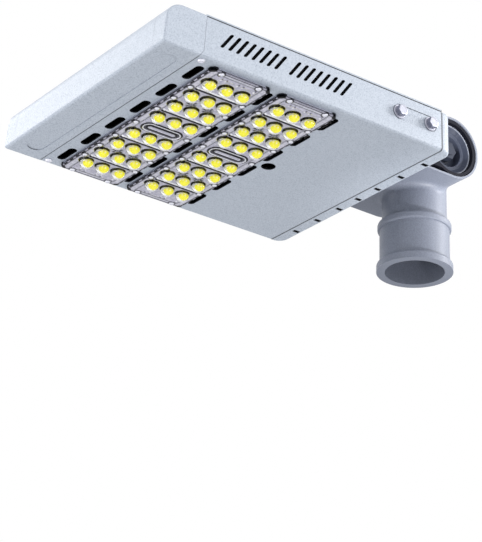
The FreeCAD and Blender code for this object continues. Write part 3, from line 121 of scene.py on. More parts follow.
def facing(shape, direction, spin=0.0):
    """The shape turned so that its own +Z points along a direction, after a spin about its own axis."""
    turn = Vector(direction).to_track_quat("Z", "Y").to_matrix() @ Matrix.Rotation(spin, 3, "Z")
    return shape[0] @ np.array(turn).T, shape[1]


DOWN, UP, LEFT, RIGHT, FORWARD = (0, 0, -1), (0, 0, 1), (0, 1, 0), (0, -1, 0), (1, 0, 0)

# %% From arrays to pieces
MERGE_DISTANCE = 0.001 * MM
SHARP_ANGLE = math.radians(32)


def make_piece(name, shape, material, body="head", stands_for=(), sharp=SHARP_ANGLE):
    """Mesh object at the origin from (points, faces): poles and seams merged, normals turned outwards."""
    points, faces = shape
    mesh = bpy.data.meshes.new(name)
    mesh.from_pydata(points.tolist(), [], faces.tolist())
    build = bmesh.new()
    build.from_mesh(mesh)
    bmesh.ops.remove_doubles(build, verts=build.verts, dist=MERGE_DISTANCE)
    bmesh.ops.recalc_face_normals(build, faces=build.faces)
    build.to_mesh(mesh)
    build.free()
    mesh.shade_smooth()
    mesh.set_sharp_from_angle(angle=sharp)
    mesh.materials.append(material)
    piece = bpy.data.objects.new(name, mesh)
    bpy.context.scene.collection.objects.link(piece)
    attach(piece, body)
    if stands_for:
        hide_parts(*stands_for)
    print(name, len(mesh.polygons), "faces")
    return piece


# %% Attributes that say where a mark is


def vertex_places(piece):
    """Places of the piece's vertices, one row each."""
    places = np.zeros((len(piece.data.vertices), 3), np.float32)
    piece.data.vertices.foreach_get("co", places.ravel())
    return places


def paint(piece, name, shares):
    """Point attribute with one share from 0 to 1 for each vertex."""
    attribute = piece.data.attributes.new(name, "FLOAT", "POINT")
    attribute.data.foreach_set("value", np.clip(shares, 0, 1).astype(np.float32))


# %% [markdown]
# ## Finishes
# Powder coat, cast metal, rolled sheet and moulded plastic look different because their surfaces are rough
# at different scales. Pictures could carry that, but noise worked out in the shader has no resolution and
# no seams. Each kind of roughness is one node group, and each material places it with its own values.

# %% Colours and nodes


def linear(red, green, blue):
    """Screen colour 0-255 as the linear colour that shaders use."""
    value = np.array([red, green, blue]) / 255
    return (*np.where(value <= 0.04045, value / 12.92, ((value + 0.055) / 1.055) ** 2.4), 1.0)


def add_node(tree, kind, inputs=None, **settings):
    """Node with its own settings; an input is a value or another node's socket."""
    node = tree.nodes.new("ShaderNode" + kind)
    for name, value in settings.items():
        setattr(node, name, value)
    for name, value in (inputs or {}).items():
        if isinstance(value, bpy.types.NodeSocket):
            tree.links.new(value, node.inputs[name])
        else:
            node.inputs[name].default_value = value
    return node


def mix_colours(tree, factor, first, second, blend="MIX"):
    """Blend of two colours by a factor."""
    node = add_node(tree, "Mix", {0: factor, 6: first, 7: second}, data_type="RGBA", blend_type=blend)
    return node.outputs[2]


def object_place(tree):
    """Object coordinates: metres in the CAD's frame, because every piece has its origin there."""
    return add_node(tree, "TexCoord").outputs["Object"]


def noise(tree, coordinates, scale, detail=2.0):
    """Noise value 0-1 at a number of grains per metre."""
    node = add_node(tree, "TexNoise", {"Vector": coordinates, "Scale": scale, "Detail": detail})
    return node.outputs["Fac"]


# %% Sums in a node tree


def math_node(tree, operation, first, second=0.0):
    """One sum on values or sockets."""
    return add_node(tree, "Math", {0: first, 1: second}, operation=operation).outputs[0]


def plus(tree, first, second):
    """First + second."""
    return math_node(tree, "ADD", first, second)


def minus(tree, first, second):
    """First - second."""
    return math_node(tree, "SUBTRACT", first, second)


def times(tree, *values):
    """Product of several values."""
    product = values[0]
    for value in values[1:]:
        product = math_node(tree, "MULTIPLY", product, value)
    return product


def largest(tree, *values):
    """The largest of several values."""
    best = values[0]
    for value in values[1:]:
        best = math_node(tree, "MAXIMUM", best, value)
    return best


def away(tree, value, middle=0.0):
    """|value - middle|."""
    return math_node(tree, "ABSOLUTE", minus(tree, value, middle))


def beyond(tree, value, limit, width):
    """Share that grows from 0 at a limit to 1 at a width past it; a negative width counts downwards."""
    node = add_node(tree, "MapRange", {"Value": value, "From Min": limit, "From Max": limit + width})
    return node.outputs[0]


# %% Empty groups to fill
COLOUR = (("Colour", "NodeSocketColor"),)
TEXTURE = COLOUR + (("Roughness", "NodeSocketFloat"), ("Height", "NodeSocketFloat"))
GREY = (0.5, 0.5, 0.5, 1.0)


def new_group(name, inputs, outputs=TEXTURE):
    """Shader group with the named values coming in; its input and output sockets come back too."""
    group = bpy.data.node_groups.new(name, "ShaderNodeTree")
    for label, value in inputs.items():
        kind = "NodeSocketColor" if isinstance(value, tuple) else "NodeSocketFloat"
        socket = group.interface.new_socket(name=label, in_out="INPUT", socket_type=kind)
        socket.default_value = value
    for label, kind in outputs:
        group.interface.new_socket(name=label, in_out="OUTPUT", socket_type=kind)
    start = group.nodes.new("NodeGroupInput").outputs
    end = group.nodes.new("NodeGroupOutput").inputs
    return group, start, end


# %% Powder coat: fine grain over a soft orange peel, speckled, with faint cloudy patches
PEEL_SCALE = 0.22
SPECKLE_SCALE = 0.45
SPECKLE_GAIN = 6.0
CLOUDS_PER_METRE = 14.0
GRAIN_ROUGHNESS = 0.16
SHADED_COAT = (0.62, 0.64, 0.68, 1.0)

powder_coat, given, out = new_group("Powder coat", {
    "Colour": GREY, "Roughness": 0.5, "Grains": 1400.0, "Patches": 0.1})
place = object_place(powder_coat)
grain = noise(powder_coat, place, given["Grains"])
peel = noise(powder_coat, place, times(powder_coat, given["Grains"], PEEL_SCALE))
speckle = noise(powder_coat, place, times(powder_coat, given["Grains"], SPECKLE_SCALE))
cloud = noise(powder_coat, place, CLOUDS_PER_METRE, 4.0)
darker = mix_colours(powder_coat, 1.0, given["Colour"], SHADED_COAT, "MULTIPLY")
patched = mix_colours(powder_coat, times(powder_coat, cloud, given["Patches"]), given["Colour"], darker)
dots = times(powder_coat, away(powder_coat, speckle, 0.5), SPECKLE_GAIN)
powder_coat.links.new(mix_colours(powder_coat, dots, patched, darker), out["Colour"])
rough = times(powder_coat, minus(powder_coat, grain, 0.5), GRAIN_ROUGHNESS)
powder_coat.links.new(plus(powder_coat, given["Roughness"], rough), out["Roughness"])
powder_coat.links.new(plus(powder_coat, times(powder_coat, grain, 0.5), peel), out["Height"])
print("powder coat:", len(powder_coat.nodes), "nodes")

# %% Rolled or brushed metal: streaks along one direction, and stains
STAINS_PER_METRE = 60.0
STAINED_METAL = (0.55, 0.56, 0.60, 1.0)

brushed, given, out = new_group("Brushed", {
    "Colour": GREY, "Roughness": 0.3, "Streaks": 900.0, "Stretch": 12.0, "Depth": 0.25})
place = object_place(brushed)
along = math_node(brushed, "DIVIDE", given["Streaks"], given["Stretch"])
scales = add_node(brushed, "CombineXYZ", {"X": given["Streaks"], "Y": along, "Z": given["Streaks"]})
stretched = add_node(brushed, "VectorMath", {0: place, 1: scales.outputs[0]}, operation="MULTIPLY")
streaks = noise(brushed, stretched.outputs[0], 1.0, 3.0)
stains = times(brushed, noise(brushed, place, STAINS_PER_METRE, 4.0), given["Depth"])
dull = mix_colours(brushed, 1.0, given["Colour"], STAINED_METAL, "MULTIPLY")
brushed.links.new(mix_colours(brushed, stains, given["Colour"], dull), out["Colour"])
rough = times(brushed, minus(brushed, streaks, 0.5), given["Depth"])
brushed.links.new(plus(brushed, given["Roughness"], rough), out["Roughness"])
brushed.links.new(streaks, out["Height"])
print("brushed:", len(brushed.nodes), "nodes")

# %% Cast or moulded skin: lumps of two sizes and dark pores
SWELL_SCALE = 0.08
SWELL_ROUGHNESS = 0.12
PORE_EDGE, PORE_DEEP = 0.58, 0.42
PORE_COLOUR = (0.72, 0.73, 0.76, 1.0)

cast_skin, given, out = new_group("Cast skin", {
    "Colour": GREY, "Roughness": 0.5, "Lumps": 500.0, "Pores": 0.3})
place = object_place(cast_skin)
lumps = noise(cast_skin, place, given["Lumps"], 4.0)
swell = noise(cast_skin, place, times(cast_skin, given["Lumps"], SWELL_SCALE))
pores = times(cast_skin, beyond(cast_skin, lumps, PORE_EDGE, PORE_DEEP - PORE_EDGE), given["Pores"])
in_pores = mix_colours(cast_skin, 1.0, given["Colour"], PORE_COLOUR, "MULTIPLY")
cast_skin.links.new(mix_colours(cast_skin, pores, given["Colour"], in_pores), out["Colour"])
rough = times(cast_skin, swell, SWELL_ROUGHNESS)
cast_skin.links.new(plus(cast_skin, given["Roughness"], rough), out["Roughness"])
cast_skin.links.new(plus(cast_skin, lumps, swell), out["Height"])
print("cast skin:", len(cast_skin.nodes), "nodes")

# %% Painted shade and highlights: the colours Dark and Pale mixed in where the attributes dark and pale say so
MARK_OUTPUTS = COLOUR + (("Gloss", "NodeSocketFloat"), ("Metal", "NodeSocketFloat"))
LEAST_METAL = 0.3

shade_and_highlights, given, out = new_group("Painted shade and highlights", {
    "Colour": GREY, "Dark": (0.02, 0.02, 0.03, 1.0), "Pale": (0.9, 0.9, 0.92, 1.0)}, MARK_OUTPUTS)
dark_share = add_node(shade_and_highlights, "Attribute", attribute_name="dark").outputs["Fac"]
pale_share = add_node(shade_and_highlights, "Attribute", attribute_name="pale").outputs["Fac"]
darkened = mix_colours(shade_and_highlights, dark_share, given["Colour"], given["Dark"])
shade_and_highlights.links.new(mix_colours(shade_and_highlights, pale_share, darkened, given["Pale"]), out["Colour"])
shade_and_highlights.links.new(minus(shade_and_highlights, 1.0, dark_share), out["Gloss"])
metal_share = plus(shade_and_highlights, times(shade_and_highlights, dark_share, 1.0 - LEAST_METAL), LEAST_METAL)
shade_and_highlights.links.new(metal_share, out["Metal"])
print("marks:", len(shade_and_highlights.nodes), "nodes")

# %% One material from one group


def new_material(name, group, bump, surface, **values):
    """Principled surface fed by a texture group; bump is in metres, surface holds the plain sockets."""
    material = bpy.data.materials.new(name)
    material.use_nodes = True
    tree = material.node_tree
    shader = tree.nodes["Principled BSDF"]
    texture = tree.nodes.new("ShaderNodeGroup")
    texture.name = "texture"
    texture.node_tree = group
    for label, value in values.items():
        texture.inputs[label].default_value = value
    for label, value in surface.items():
        shader.inputs[label].default_value = value
    tree.links.new(texture.outputs["Colour"], shader.inputs["Base Color"])
    tree.links.new(texture.outputs["Roughness"], shader.inputs["Roughness"])
    relief = add_node(tree, "Bump", {"Height": texture.outputs["Height"], "Distance": bump, "Strength": 0.6})
    tree.links.new(relief.outputs["Normal"], shader.inputs["Normal"])
    return material


def put_before(material, group, **values):
    """Let a colour group feed the material's texture group; what fed that one now feeds the new one."""
    tree = material.node_tree
    goal = tree.nodes["texture"].inputs["Colour"]
    added = tree.nodes.new("ShaderNodeGroup")
    added.node_tree = group
    if goal.is_linked:
        tree.links.new(goal.links[0].from_socket, added.inputs["Colour"])
    else:
        added.inputs["Colour"].default_value = goal.default_value
    for label, value in values.items():
        added.inputs[label].default_value = value
    tree.links.new(added.outputs["Colour"], goal)
    return added


METAL = {"Metallic": 1.0}
PAINT = {"Metallic": 0.0, "Coat Weight": 0.12, "Coat Roughness": 0.35}
PLASTIC = {"Metallic": 0.0, "Specular IOR Level": 0.5}
DULL = {"Metallic": 0.0, "Specular IOR Level": 0.15}
print("four kinds of surface: metal, paint, plastic, dull")

# %% Coats of the sheets, the castings and the tilt joint
sheet_coat = new_material("Pale grey powder coat", powder_coat, 0.03 * MM, PAINT,
                          Colour=linear(184, 191, 201), Roughness=0.46, Grains=1400.0, Patches=0.12)
cap_coat = new_material("Pale grey coat on castings", powder_coat, 0.04 * MM, PAINT,
                        Colour=linear(186, 193, 203), Roughness=0.50, Grains=1350.0, Patches=0.14)
fitter_coat = new_material("Mid grey coat on the pole fitter", cast_skin, 0.06 * MM, PAINT,
                           Colour=linear(114, 119, 132), Roughness=0.52, Lumps=800.0, Pores=0.6)
fork_coat = new_material("Dark coat on the fork", cast_skin, 0.05 * MM, DULL,
                         Colour=linear(16, 17, 27), Roughness=0.65, Lumps=700.0, Pores=0.3)
cup_coat = new_material("Coat inside the clamp cups", cast_skin, 0.05 * MM, DULL,
                        Roughness=0.42, Lumps=600.0, Pores=0.3)
# In the cups the colour called Dark belongs to the recess and is lighter than the cone: painted light against
# its shade.
put_before(cup_coat, shade_and_highlights, Colour=linear(60, 65, 80), Dark=linear(76, 81, 97), Pale=linear(168, 172, 184))
dark_steel = new_material("Dark coated steel", brushed, 0.01 * MM, DULL,
                          Colour=linear(46, 50, 62), Roughness=0.5, Streaks=1500.0, Stretch=6.0, Depth=0.2)
coats = (sheet_coat, cap_coat, fitter_coat, fork_coat, cup_coat, dark_steel)
print("coats", [material.name for material in coats])

# %% Bare and plated metals
pale_zinc = new_material("Pale zinc on the small screws", brushed, 0.005 * MM, METAL,
                         Colour=linear(236, 236, 244), Roughness=0.36, Streaks=1800.0, Stretch=5.0,
                         Depth=0.2)
bolt_zinc = new_material("Pale zinc with painted dark reflection on the flats", brushed, 0.005 * MM, {"Metallic": 0.6},
                         Colour=linear(192, 193, 205), Roughness=0.36, Streaks=1800.0, Stretch=5.0,
                         Depth=0.2)
stainless = new_material("Stainless screws", brushed, 0.005 * MM, METAL,
                         Colour=linear(226, 228, 231), Roughness=0.24, Streaks=2200.0, Stretch=6.0,
                         Depth=0.2)
zinc = new_material("Zinc-plated steel", brushed, 0.01 * MM, METAL,
                    Colour=linear(196, 199, 205), Roughness=0.34, Streaks=900.0, Stretch=10.0, Depth=0.3)
sink_metal = new_material("Heatsink, bare at its flange", cast_skin, 0.03 * MM, METAL,
                          Colour=linear(186, 188, 200), Roughness=0.46, Lumps=900.0, Pores=0.3)
case_metal = new_material("Driver case", brushed, 0.01 * MM, METAL,
                          Colour=linear(205, 207, 210), Roughness=0.30, Streaks=1200.0, Stretch=14.0,
                          Depth=0.3)
metals = (pale_zinc, bolt_zinc, stainless, zinc, sink_metal, case_metal)
print("metals", [material.name for material in metals])

# %% Cloth, rubber, plastics and the light chips
# Board and phosphor glow a little: painted light for the light that the clear domes and plate keep off them.
BOARD_PAINTED_LIGHT = {"Emission Color": linear(240, 240, 250), "Emission Strength": 0.5}
PHOSPHOR_PAINTED_LIGHT = {"Emission Strength": 0.56}

screen_black = new_material("Black screen cloth standing in for shade", cast_skin, 0.01 * MM, DULL,
                            Colour=linear(10, 10, 12), Roughness=0.9, Lumps=3000.0, Pores=0.5)
rubber = new_material("Black seal rubber", cast_skin, 0.03 * MM, PLASTIC,
                      Colour=linear(38, 38, 41), Roughness=0.62, Lumps=1400.0, Pores=0.4)
white_plastic = new_material("White moulded plastic", cast_skin, 0.01 * MM, PLASTIC,
                             Colour=linear(226, 226, 222), Roughness=0.38, Lumps=300.0, Pores=0.1)
board_mask = new_material("White solder mask", powder_coat, 0.01 * MM, {**PLASTIC, **BOARD_PAINTED_LIGHT},
                          Colour=linear(236, 236, 240), Roughness=0.35, Grains=2000.0, Patches=0.3)
chip_ceramic = new_material("White chip ceramic", cast_skin, 0.01 * MM, PLASTIC,
                            Colour=linear(240, 240, 236), Roughness=0.35, Lumps=2000.0, Pores=0.1)
phosphor = new_material("Chip phosphor", powder_coat, 0.01 * MM, {**PLASTIC, **PHOSPHOR_PAINTED_LIGHT},
                        Roughness=0.30, Grains=4000.0, Patches=0.15)
# The phosphor's Dark is painted shade at each bulge's foot and its Pale painted highlights; its glow takes
# the same colour.
phosphor_painted_light = put_before(phosphor, shade_and_highlights, Colour=linear(240, 232, 28), Dark=linear(220, 202, 24),
                  Pale=linear(255, 250, 214))
glow_goal = phosphor.node_tree.nodes["Principled BSDF"].inputs["Emission Color"]
phosphor.node_tree.links.new(phosphor_painted_light.outputs["Colour"], glow_goal)
plastics = (screen_black, rubber, white_plastic, board_mask, chip_ceramic, phosphor)
print("cloth, rubber and plastics", [material.name for material in plastics])

# %% [markdown]
# ## Where a coat turns dark, and where shade is painted
# The coated shells aren't one even colour: the nose has shallow creases with painted shade along them, the
# seams between the shells are dark lines of painted shade, and the cut edges and the inside of the slots are
# darkened as painted shade, where shade falls. The heatsinks are black but for their flanges, and the flats
# of the side bolts carry a painted dark reflection. Each could be a face of its own, but the CAD's meshes
# stay as they are, so a mask worked out from the place and the normal of a point says where the colour
# changes. A mask is made of simple shares between 0 and 1, multiplied where all of them have to hold and
# joined by the largest where one is enough.

# %% Masks in a plane and along an axis


def band(tree, value, middle, width):
    """Share that is 1 where a value is at the middle of a band and 0 at its width from there."""
    return beyond(tree, away(tree, value, middle), width, -width)


def between(tree, value, low, high, soft):
    """Share that is 1 between two limits and falls to 0 at each of them."""
    return times(tree, beyond(tree, value, low, soft), beyond(tree, value, high, -soft))


def distance_to(tree, x, y, middle):
    """sqrt((x - a)^2 + (y - b)^2) for a middle (a, b)."""
    off_x = minus(tree, x, middle[0])
    off_y = minus(tree, y, middle[1])
    return math_node(tree, "SQRT", plus(tree, times(tree, off_x, off_x), times(tree, off_y, off_y)))


def split_place(tree):
    """Object coordinates as X, the distance from the middle plane, and Z."""
    axes = add_node(tree, "SeparateXYZ", {"Vector": object_place(tree)}).outputs
    return axes["X"], away(tree, axes["Y"]), axes["Z"]


# %% Painted shade of creases pressed into the nose: a line on its front and the round ends of its shallow field
FRONT_LINE_Y, FRONT_LINE_WIDTH = 118.0 * MM, 1.6 * MM
FIELD_END, FIELD_RADIUS, FIELD_LINE_WIDTH = (394.0 * MM, 110.0 * MM), 9.0 * MM, 2.2 * MM
CREASE_SHADE = (0.35, 0.36, 0.42, 1.0)

creases, given, out = new_group("Painted shade of the nose creases", {"Colour": GREY, "Depth": 0.3}, COLOUR)
x, across, z = split_place(creases)
front_line = times(creases, band(creases, across, FRONT_LINE_Y, FRONT_LINE_WIDTH),
                   beyond(creases, x, 409.5 * MM, 2.0 * MM), beyond(creases, z, 66.0 * MM, 8.0 * MM))
end_reach = distance_to(creases, x, across, FIELD_END)
field_end = times(creases, band(creases, end_reach, FIELD_RADIUS, FIELD_LINE_WIDTH),
                  beyond(creases, across, 111.0 * MM, 5.0 * MM), beyond(creases, z, 63.0 * MM, -2.0 * MM))
creased = times(creases, largest(creases, front_line, field_end), given["Depth"])
shadow = mix_colours(creases, 1.0, given["Colour"], CREASE_SHADE, "MULTIPLY")
creases.links.new(mix_colours(creases, creased, given["Colour"], shadow), out["Colour"])
print("creases:", len(creases.nodes), "nodes")

# %% Painted shade: on faces that look inwards, and on the cut edges of the slots, where shade falls
HEAD_MIDDLE = (0.24, 0.0, 0.082)
THIN = 0.1 * MM
TRAY_FLOOR_X, TRAY_FLOOR_Y, TRAY_FLOOR_Z = (71.5 * MM, 374.5 * MM), 125.0 * MM, (60.15 * MM, 63.0 * MM)
SIDE_SLOTS_X, SIDE_SLOTS_Z = (155.0 * MM, 368.0 * MM), (70.0 * MM, 101.0 * MM)
SIDE_WALL_Y = (133.0 * MM, 136.4 * MM)

painted_shade, given, out = new_group("Painted shade inside and in the seams", {"Colour": GREY, "Shade": linear(20, 21, 26)}, COLOUR)
x, across, z = split_place(painted_shade)
coordinates = add_node(painted_shade, "TexCoord").outputs
outward = add_node(painted_shade, "VectorMath", {0: coordinates["Object"], 1: HEAD_MIDDLE}, operation="SUBTRACT")
looks_out = add_node(painted_shade, "VectorMath", {0: outward.outputs[0], 1: coordinates["Normal"]},
                     operation="DOT_PRODUCT").outputs["Value"]
inner_faces = beyond(painted_shade, looks_out, -2.0 * MM, -4.0 * MM)
floor_edges = times(painted_shade, between(painted_shade, z, *TRAY_FLOOR_Z, THIN), between(painted_shade, x, *TRAY_FLOOR_X, THIN),
                    beyond(painted_shade, across, TRAY_FLOOR_Y, -THIN))
side_edges = times(painted_shade, between(painted_shade, across, *SIDE_WALL_Y, THIN),
                   between(painted_shade, x, *SIDE_SLOTS_X, THIN), between(painted_shade, z, *SIDE_SLOTS_Z, THIN))

# %% The same painted shade in the seams and round the small slots of the rear cap
REAR_SEAM_X, REAR_SEAM_WIDTH = 84.3 * MM, 1.4 * MM
NOSE_SEAM_X, NOSE_SEAM_WIDTH = 375.0 * MM, 0.8 * MM
UNDERSIDE_Z = 60.3 * MM
DRAIN_X, DRAINS_Y = 76.4 * MM, (30.5 * MM, 66.2 * MM, 101.9 * MM)
DRAIN_HALF, DRAIN_SOFT = (4.0 * MM, 2.5 * MM), 0.4 * MM

underneath = beyond(painted_shade, z, UNDERSIDE_Z, -THIN)
rear_seam = band(painted_shade, x, REAR_SEAM_X, REAR_SEAM_WIDTH)
nose_seam = times(painted_shade, band(painted_shade, x, NOSE_SEAM_X, NOSE_SEAM_WIDTH), underneath)
off_drain = across                      # from the slot in the middle, at Y = 0
for drain_y in DRAINS_Y:
    off_drain = math_node(painted_shade, "MINIMUM", off_drain, away(painted_shade, across, drain_y))
drain_rims = times(painted_shade, underneath, beyond(painted_shade, away(painted_shade, x, DRAIN_X), DRAIN_HALF[0], -DRAIN_SOFT),
                   beyond(painted_shade, off_drain, DRAIN_HALF[1], -DRAIN_SOFT))
share = largest(painted_shade, inner_faces, floor_edges, side_edges, rear_seam, nose_seam, drain_rims)
painted_shade.links.new(mix_colours(painted_shade, share, given["Colour"], given["Shade"]), out["Colour"])
print("primer:", len(painted_shade.nodes), "nodes")

# %% Painted dark reflection on the wrench flats of the side bolts: where the normal turns away from Y
flats, given, out = new_group("Painted dark reflection on the wrench flats", {"Colour": GREY, "Flat": linear(126, 128, 144)}, COLOUR)
normal = add_node(flats, "TexCoord").outputs["Normal"]
facing_side = away(flats, add_node(flats, "SeparateXYZ", {"Vector": normal}).outputs["Y"])
dark_reflection_share = beyond(flats, facing_side, 0.75, -0.5)
flats.links.new(mix_colours(flats, dark_reflection_share, given["Colour"], given["Flat"]), out["Colour"])
print("flats:", len(flats.nodes), "nodes")

# %% Heatsinks: black above their flanges and at the flanges' corners
BLACK_FROM_Z, BLACK_FADE = 60.1 * MM, 0.2 * MM
FLANGE_CORNER = (34.0 * MM, 128.5 * MM)
CORNER_REACH, CORNER_SOFT = 7.5 * MM, 0.8 * MM

anodised, given, out = new_group("Black above the flange", {
    "Colour": GREY, "Black": linear(34, 35, 40)}, COLOUR)
x, across, z = split_place(anodised)
share = beyond(anodised, z, BLACK_FROM_Z, BLACK_FADE)
for side in ("front", "rear"):
    low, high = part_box(f"heatsink_{side}")
    corner_off = distance_to(anodised, away(anodised, x, (low.x + high.x) / 2), across, FLANGE_CORNER)
    share = largest(anodised, share, beyond(anodised, corner_off, CORNER_REACH, -CORNER_SOFT))
anodised.links.new(mix_colours(anodised, share, given["Colour"], given["Black"]), out["Colour"])
print("anodised:", len(anodised.nodes), "nodes")

# %% Put the masks into the materials
for material, group in ((cap_coat, creases), (cap_coat, painted_shade), (sheet_coat, painted_shade), (bolt_zinc, flats),
                        (sink_metal, anodised)):
    put_before(material, group)
    print(material.name, "has", group.name)

# %% [markdown]
# ## Finishes of the pieces that keep the CAD's shape
# Most pieces are right as the CAD has them and only need the finish of the real one: a coat on the shells
# and the fitter, zinc or stainless steel on the fasteners, rubber, plastic and bare metal inside. The mesh
# stays as it is and only its material slot is filled. One table says it all at a glance, where a call for
# each piece would hide which of them share a finish.

# %% Give the CAD nodes their finishes
NODE_FINISH = {
    "housing_tray": sheet_coat, "top_cover": sheet_coat, "nose_cap": cap_coat, "rear_cap": cap_coat,
    "pole_fitter": fitter_coat, "tilt_fork": fork_coat, "clamp_cups": cup_coat,
    "set_screws": stainless, "pivot_bolt": dark_steel, "pivot_nut": dark_steel, "pivot_washers": dark_steel,
    "foot_bolts": zinc, "foot_nuts": zinc, "mounting_frame": zinc, "frame_nuts": zinc, "gear_plate": zinc,
    "frame_bolts": stainless, "frame_washers": stainless, "cover_screws": stainless,
    "nose_screws": stainless, "cable_grommet": rubber, "terminal_block": white_plastic,
    "driver": case_metal, "surge_protector": white_plastic,
}
for side in ("front", "rear"):
    NODE_FINISH.update({
        f"heatsink_{side}": sink_metal, f"gasket_{side}": rubber, f"led_board_{side}": board_mask,
        f"led_chips_{side}": chip_ceramic, f"plate_screws_{side}": stainless,
    })
for name, material in NODE_FINISH.items():
    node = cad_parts[name]
    node.data.materials.clear()
    node.data.materials.append(material)
print(len(NODE_FINISH), "CAD nodes finished")

# %% [markdown]
# ## Lens plates
# Each module is closed by one clear moulding: a thin flange for the screws, a raised deck with grooves,
# moulded marks and a ring in its middle, and 24 domes. The plate could be carved from a solid with many
# cuts, but it is really a height over a flat plate, so one formula for that height gives the whole face.

# %% Sizes of the plate, from the CAD and from the photograph
plate_low, plate_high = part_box("lens_plate_front")
PLATE_CENTRE_X = {side: sum(c.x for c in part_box(f"lens_plate_{side}")) / 2 for side in ("front", "rear")}
PLATE_HALF = ((plate_high.x - plate_low.x) / 2, plate_high.y)
PLATE_TOP = plate_high.z
FLANGE_FACE = PLATE_TOP - 1.4 * MM
CORNER_CUT = 3.0 * MM
EDGE_ROUND = 0.6 * MM
DECK_DROP = 0.4 * MM
DECK_HALF = (24.5 * MM, 121.5 * MM)
DECK_WALL = 1.1 * MM
print("plate half sizes", PLATE_HALF)

# %% Places of the lenses, grooves, stars, ticks, ring and screws, from the middle of the plate
LENS_STEP = 18.8 * MM
LENS_X = np.array([-1, 0, 1]) * LENS_STEP
LENS_Y = np.array([-102.6, -74.8, -48.5, -20.7, 20.7, 48.5, 74.8, 102.6]) * MM
LENS_SPOTS = np.stack(np.meshgrid(LENS_X, LENS_Y), -1).reshape(-1, 2)
GROOVES_Y = np.array([-88.7, -34.6, 34.6, 88.7]) * MM
STAR_SPOTS = np.array([(x, y) for x in (-9.4, 9.4) for y in (-61.7, 61.7)]) * MM
TICK_X = np.array([-21.5, -8.0, -2.7, 10.8, 16.1]) * MM
TICK_Y = 119.6 * MM
RING = {"half_length": 20.5 * MM, "radius": 7.0 * MM}
RING_CORE = {"half_length": 15.0 * MM, "radius": 1.6 * MM}
CORNER_SCREW = (21.1 * MM, 124.9 * MM)
SIDE_SCREW_X = 29.8 * MM
SIDE_SCREW_Y = np.array([-88.5, -62.0, -35.0, 0.0, 35.0, 62.0, 88.5]) * MM
print(len(LENS_SPOTS), "lenses,", len(STAR_SPOTS), "stars,", 2 * len(SIDE_SCREW_Y), "side screws a plate")

# %% Sizes of a lens: its dome, the window under it and the well beside it
DOME_FOOT = 7.1 * MM
DOME_HEIGHT = 6.2 * MM
WINDOW_RADIUS = 6.4 * MM
WELL_RADIUS = 8.1 * MM
WELL_SHIFT = (2.7 * MM, 3.6 * MM)
WELL_DEPTH = 0.8 * MM
print("room between domes", round((LENS_STEP - 2 * DOME_FOOT) / MM, 1), "mm")

# %% Lines and steps as functions of a distance


def rise(distance, width):
    """Smooth step from 0 at distance 0 to 1 at distance width: 3 t^2 - 2 t^3."""
    t = np.clip(distance / width, 0, 1)
    return t * t * (3 - 2 * t)


def stroke(distance, half_width):
    """Flat-topped line along distance 0: full over half of its width, then soft to nothing."""
    return 1 - rise(np.abs(distance) - 0.5 * half_width, 0.5 * half_width)


def bump_line(distance, half_width):
    """Rounded ridge along distance 0, as (1 - (d / w)^2)^2 inside its half width and 0 outside."""
    t = np.clip(1 - (distance / half_width) ** 2, 0, 1)
    return t * t


def distance_to_slot(x, y, half_length, radius):
    """Distance to the outline of a slot along X: to a straight core, less its radius."""
    return np.hypot(np.maximum(np.abs(x) - half_length + radius, 0), y) - radius


print("a quarter up a step the rise is", rise(0.25, 1.0))

# %% Height of the plate's face
WELL_SOFT = 0.6 * MM


def in_wells(x, y):
    """Share of being in a lens well: a disc beside each dome, towards the nose and the +Y side; painted as
    shade too.
    """
    off_x = x[..., None] - LENS_SPOTS[:, 0] - WELL_SHIFT[0]
    off_y = y[..., None] - LENS_SPOTS[:, 1] - WELL_SHIFT[1]
    return rise(WELL_RADIUS - np.hypot(off_x, off_y).min(-1), WELL_SOFT)


def plate_height(x, y):
    """How far the plate stands down from its flange face: deck, rim, grooves, marks, ring and wells."""
    inside = np.minimum(DECK_HALF[0] - np.abs(x), DECK_HALF[1] - np.abs(y))
    deck = rise(inside, DECK_WALL)
    drop = DECK_DROP * deck + 0.35 * MM * bump_line(inside - 2.3 * MM, 0.9 * MM)    # deck with a low rim
    for groove in GROOVES_Y:
        drop -= 0.8 * MM * bump_line(y - groove, 1.3 * MM) * deck                   # groove
        drop += 0.3 * MM * bump_line(y - groove - 2.0 * MM, 0.9 * MM) * deck        # ridge beside it
    drop += 1.1 * MM * bump_line(distance_to_slot(x, y, **RING), 1.6 * MM)
    drop += 0.9 * MM * bump_line(distance_to_slot(x, y, **RING_CORE), 1.4 * MM)
    for star_x, star_y in STAR_SPOTS:
        reach, turn = np.hypot(x - star_x, y - star_y), np.arctan2(y - star_y, x - star_x)
        arms = bump_line(reach * np.sin(3 * turn) / 3, 0.55 * MM)                   # six arms of a star
        drop += 0.9 * MM * arms * (1 - rise(reach - 3.2 * MM, 1.5 * MM))
    ticks = np.max(bump_line(x[..., None] - TICK_X, 1.1 * MM), -1)
    drop += 0.8 * MM * ticks * bump_line(np.abs(y) - TICK_Y, 1.7 * MM)              # ticks at both ends
    drop -= WELL_DEPTH * in_wells(x, y)
    for screw_y in SIDE_SCREW_Y:
        reach = np.hypot(np.abs(x) - SIDE_SCREW_X, y - screw_y)
        drop += 0.5 * MM * (1 - rise(reach - 3.0 * MM, 0.6 * MM))                   # bosses of the screws
    edge = np.minimum(PLATE_HALF[0] - np.abs(x), PLATE_HALF[1] - np.abs(y))
    return drop - 0.5 * MM * (1 - rise(edge, EDGE_ROUND))                           # rounded outer edge


core_drop = plate_height(np.array([RING_CORE["half_length"]]), np.array([0.0]))[0]
print("the ring's core stands down by", round(float(core_drop) / MM, 2), "mm")

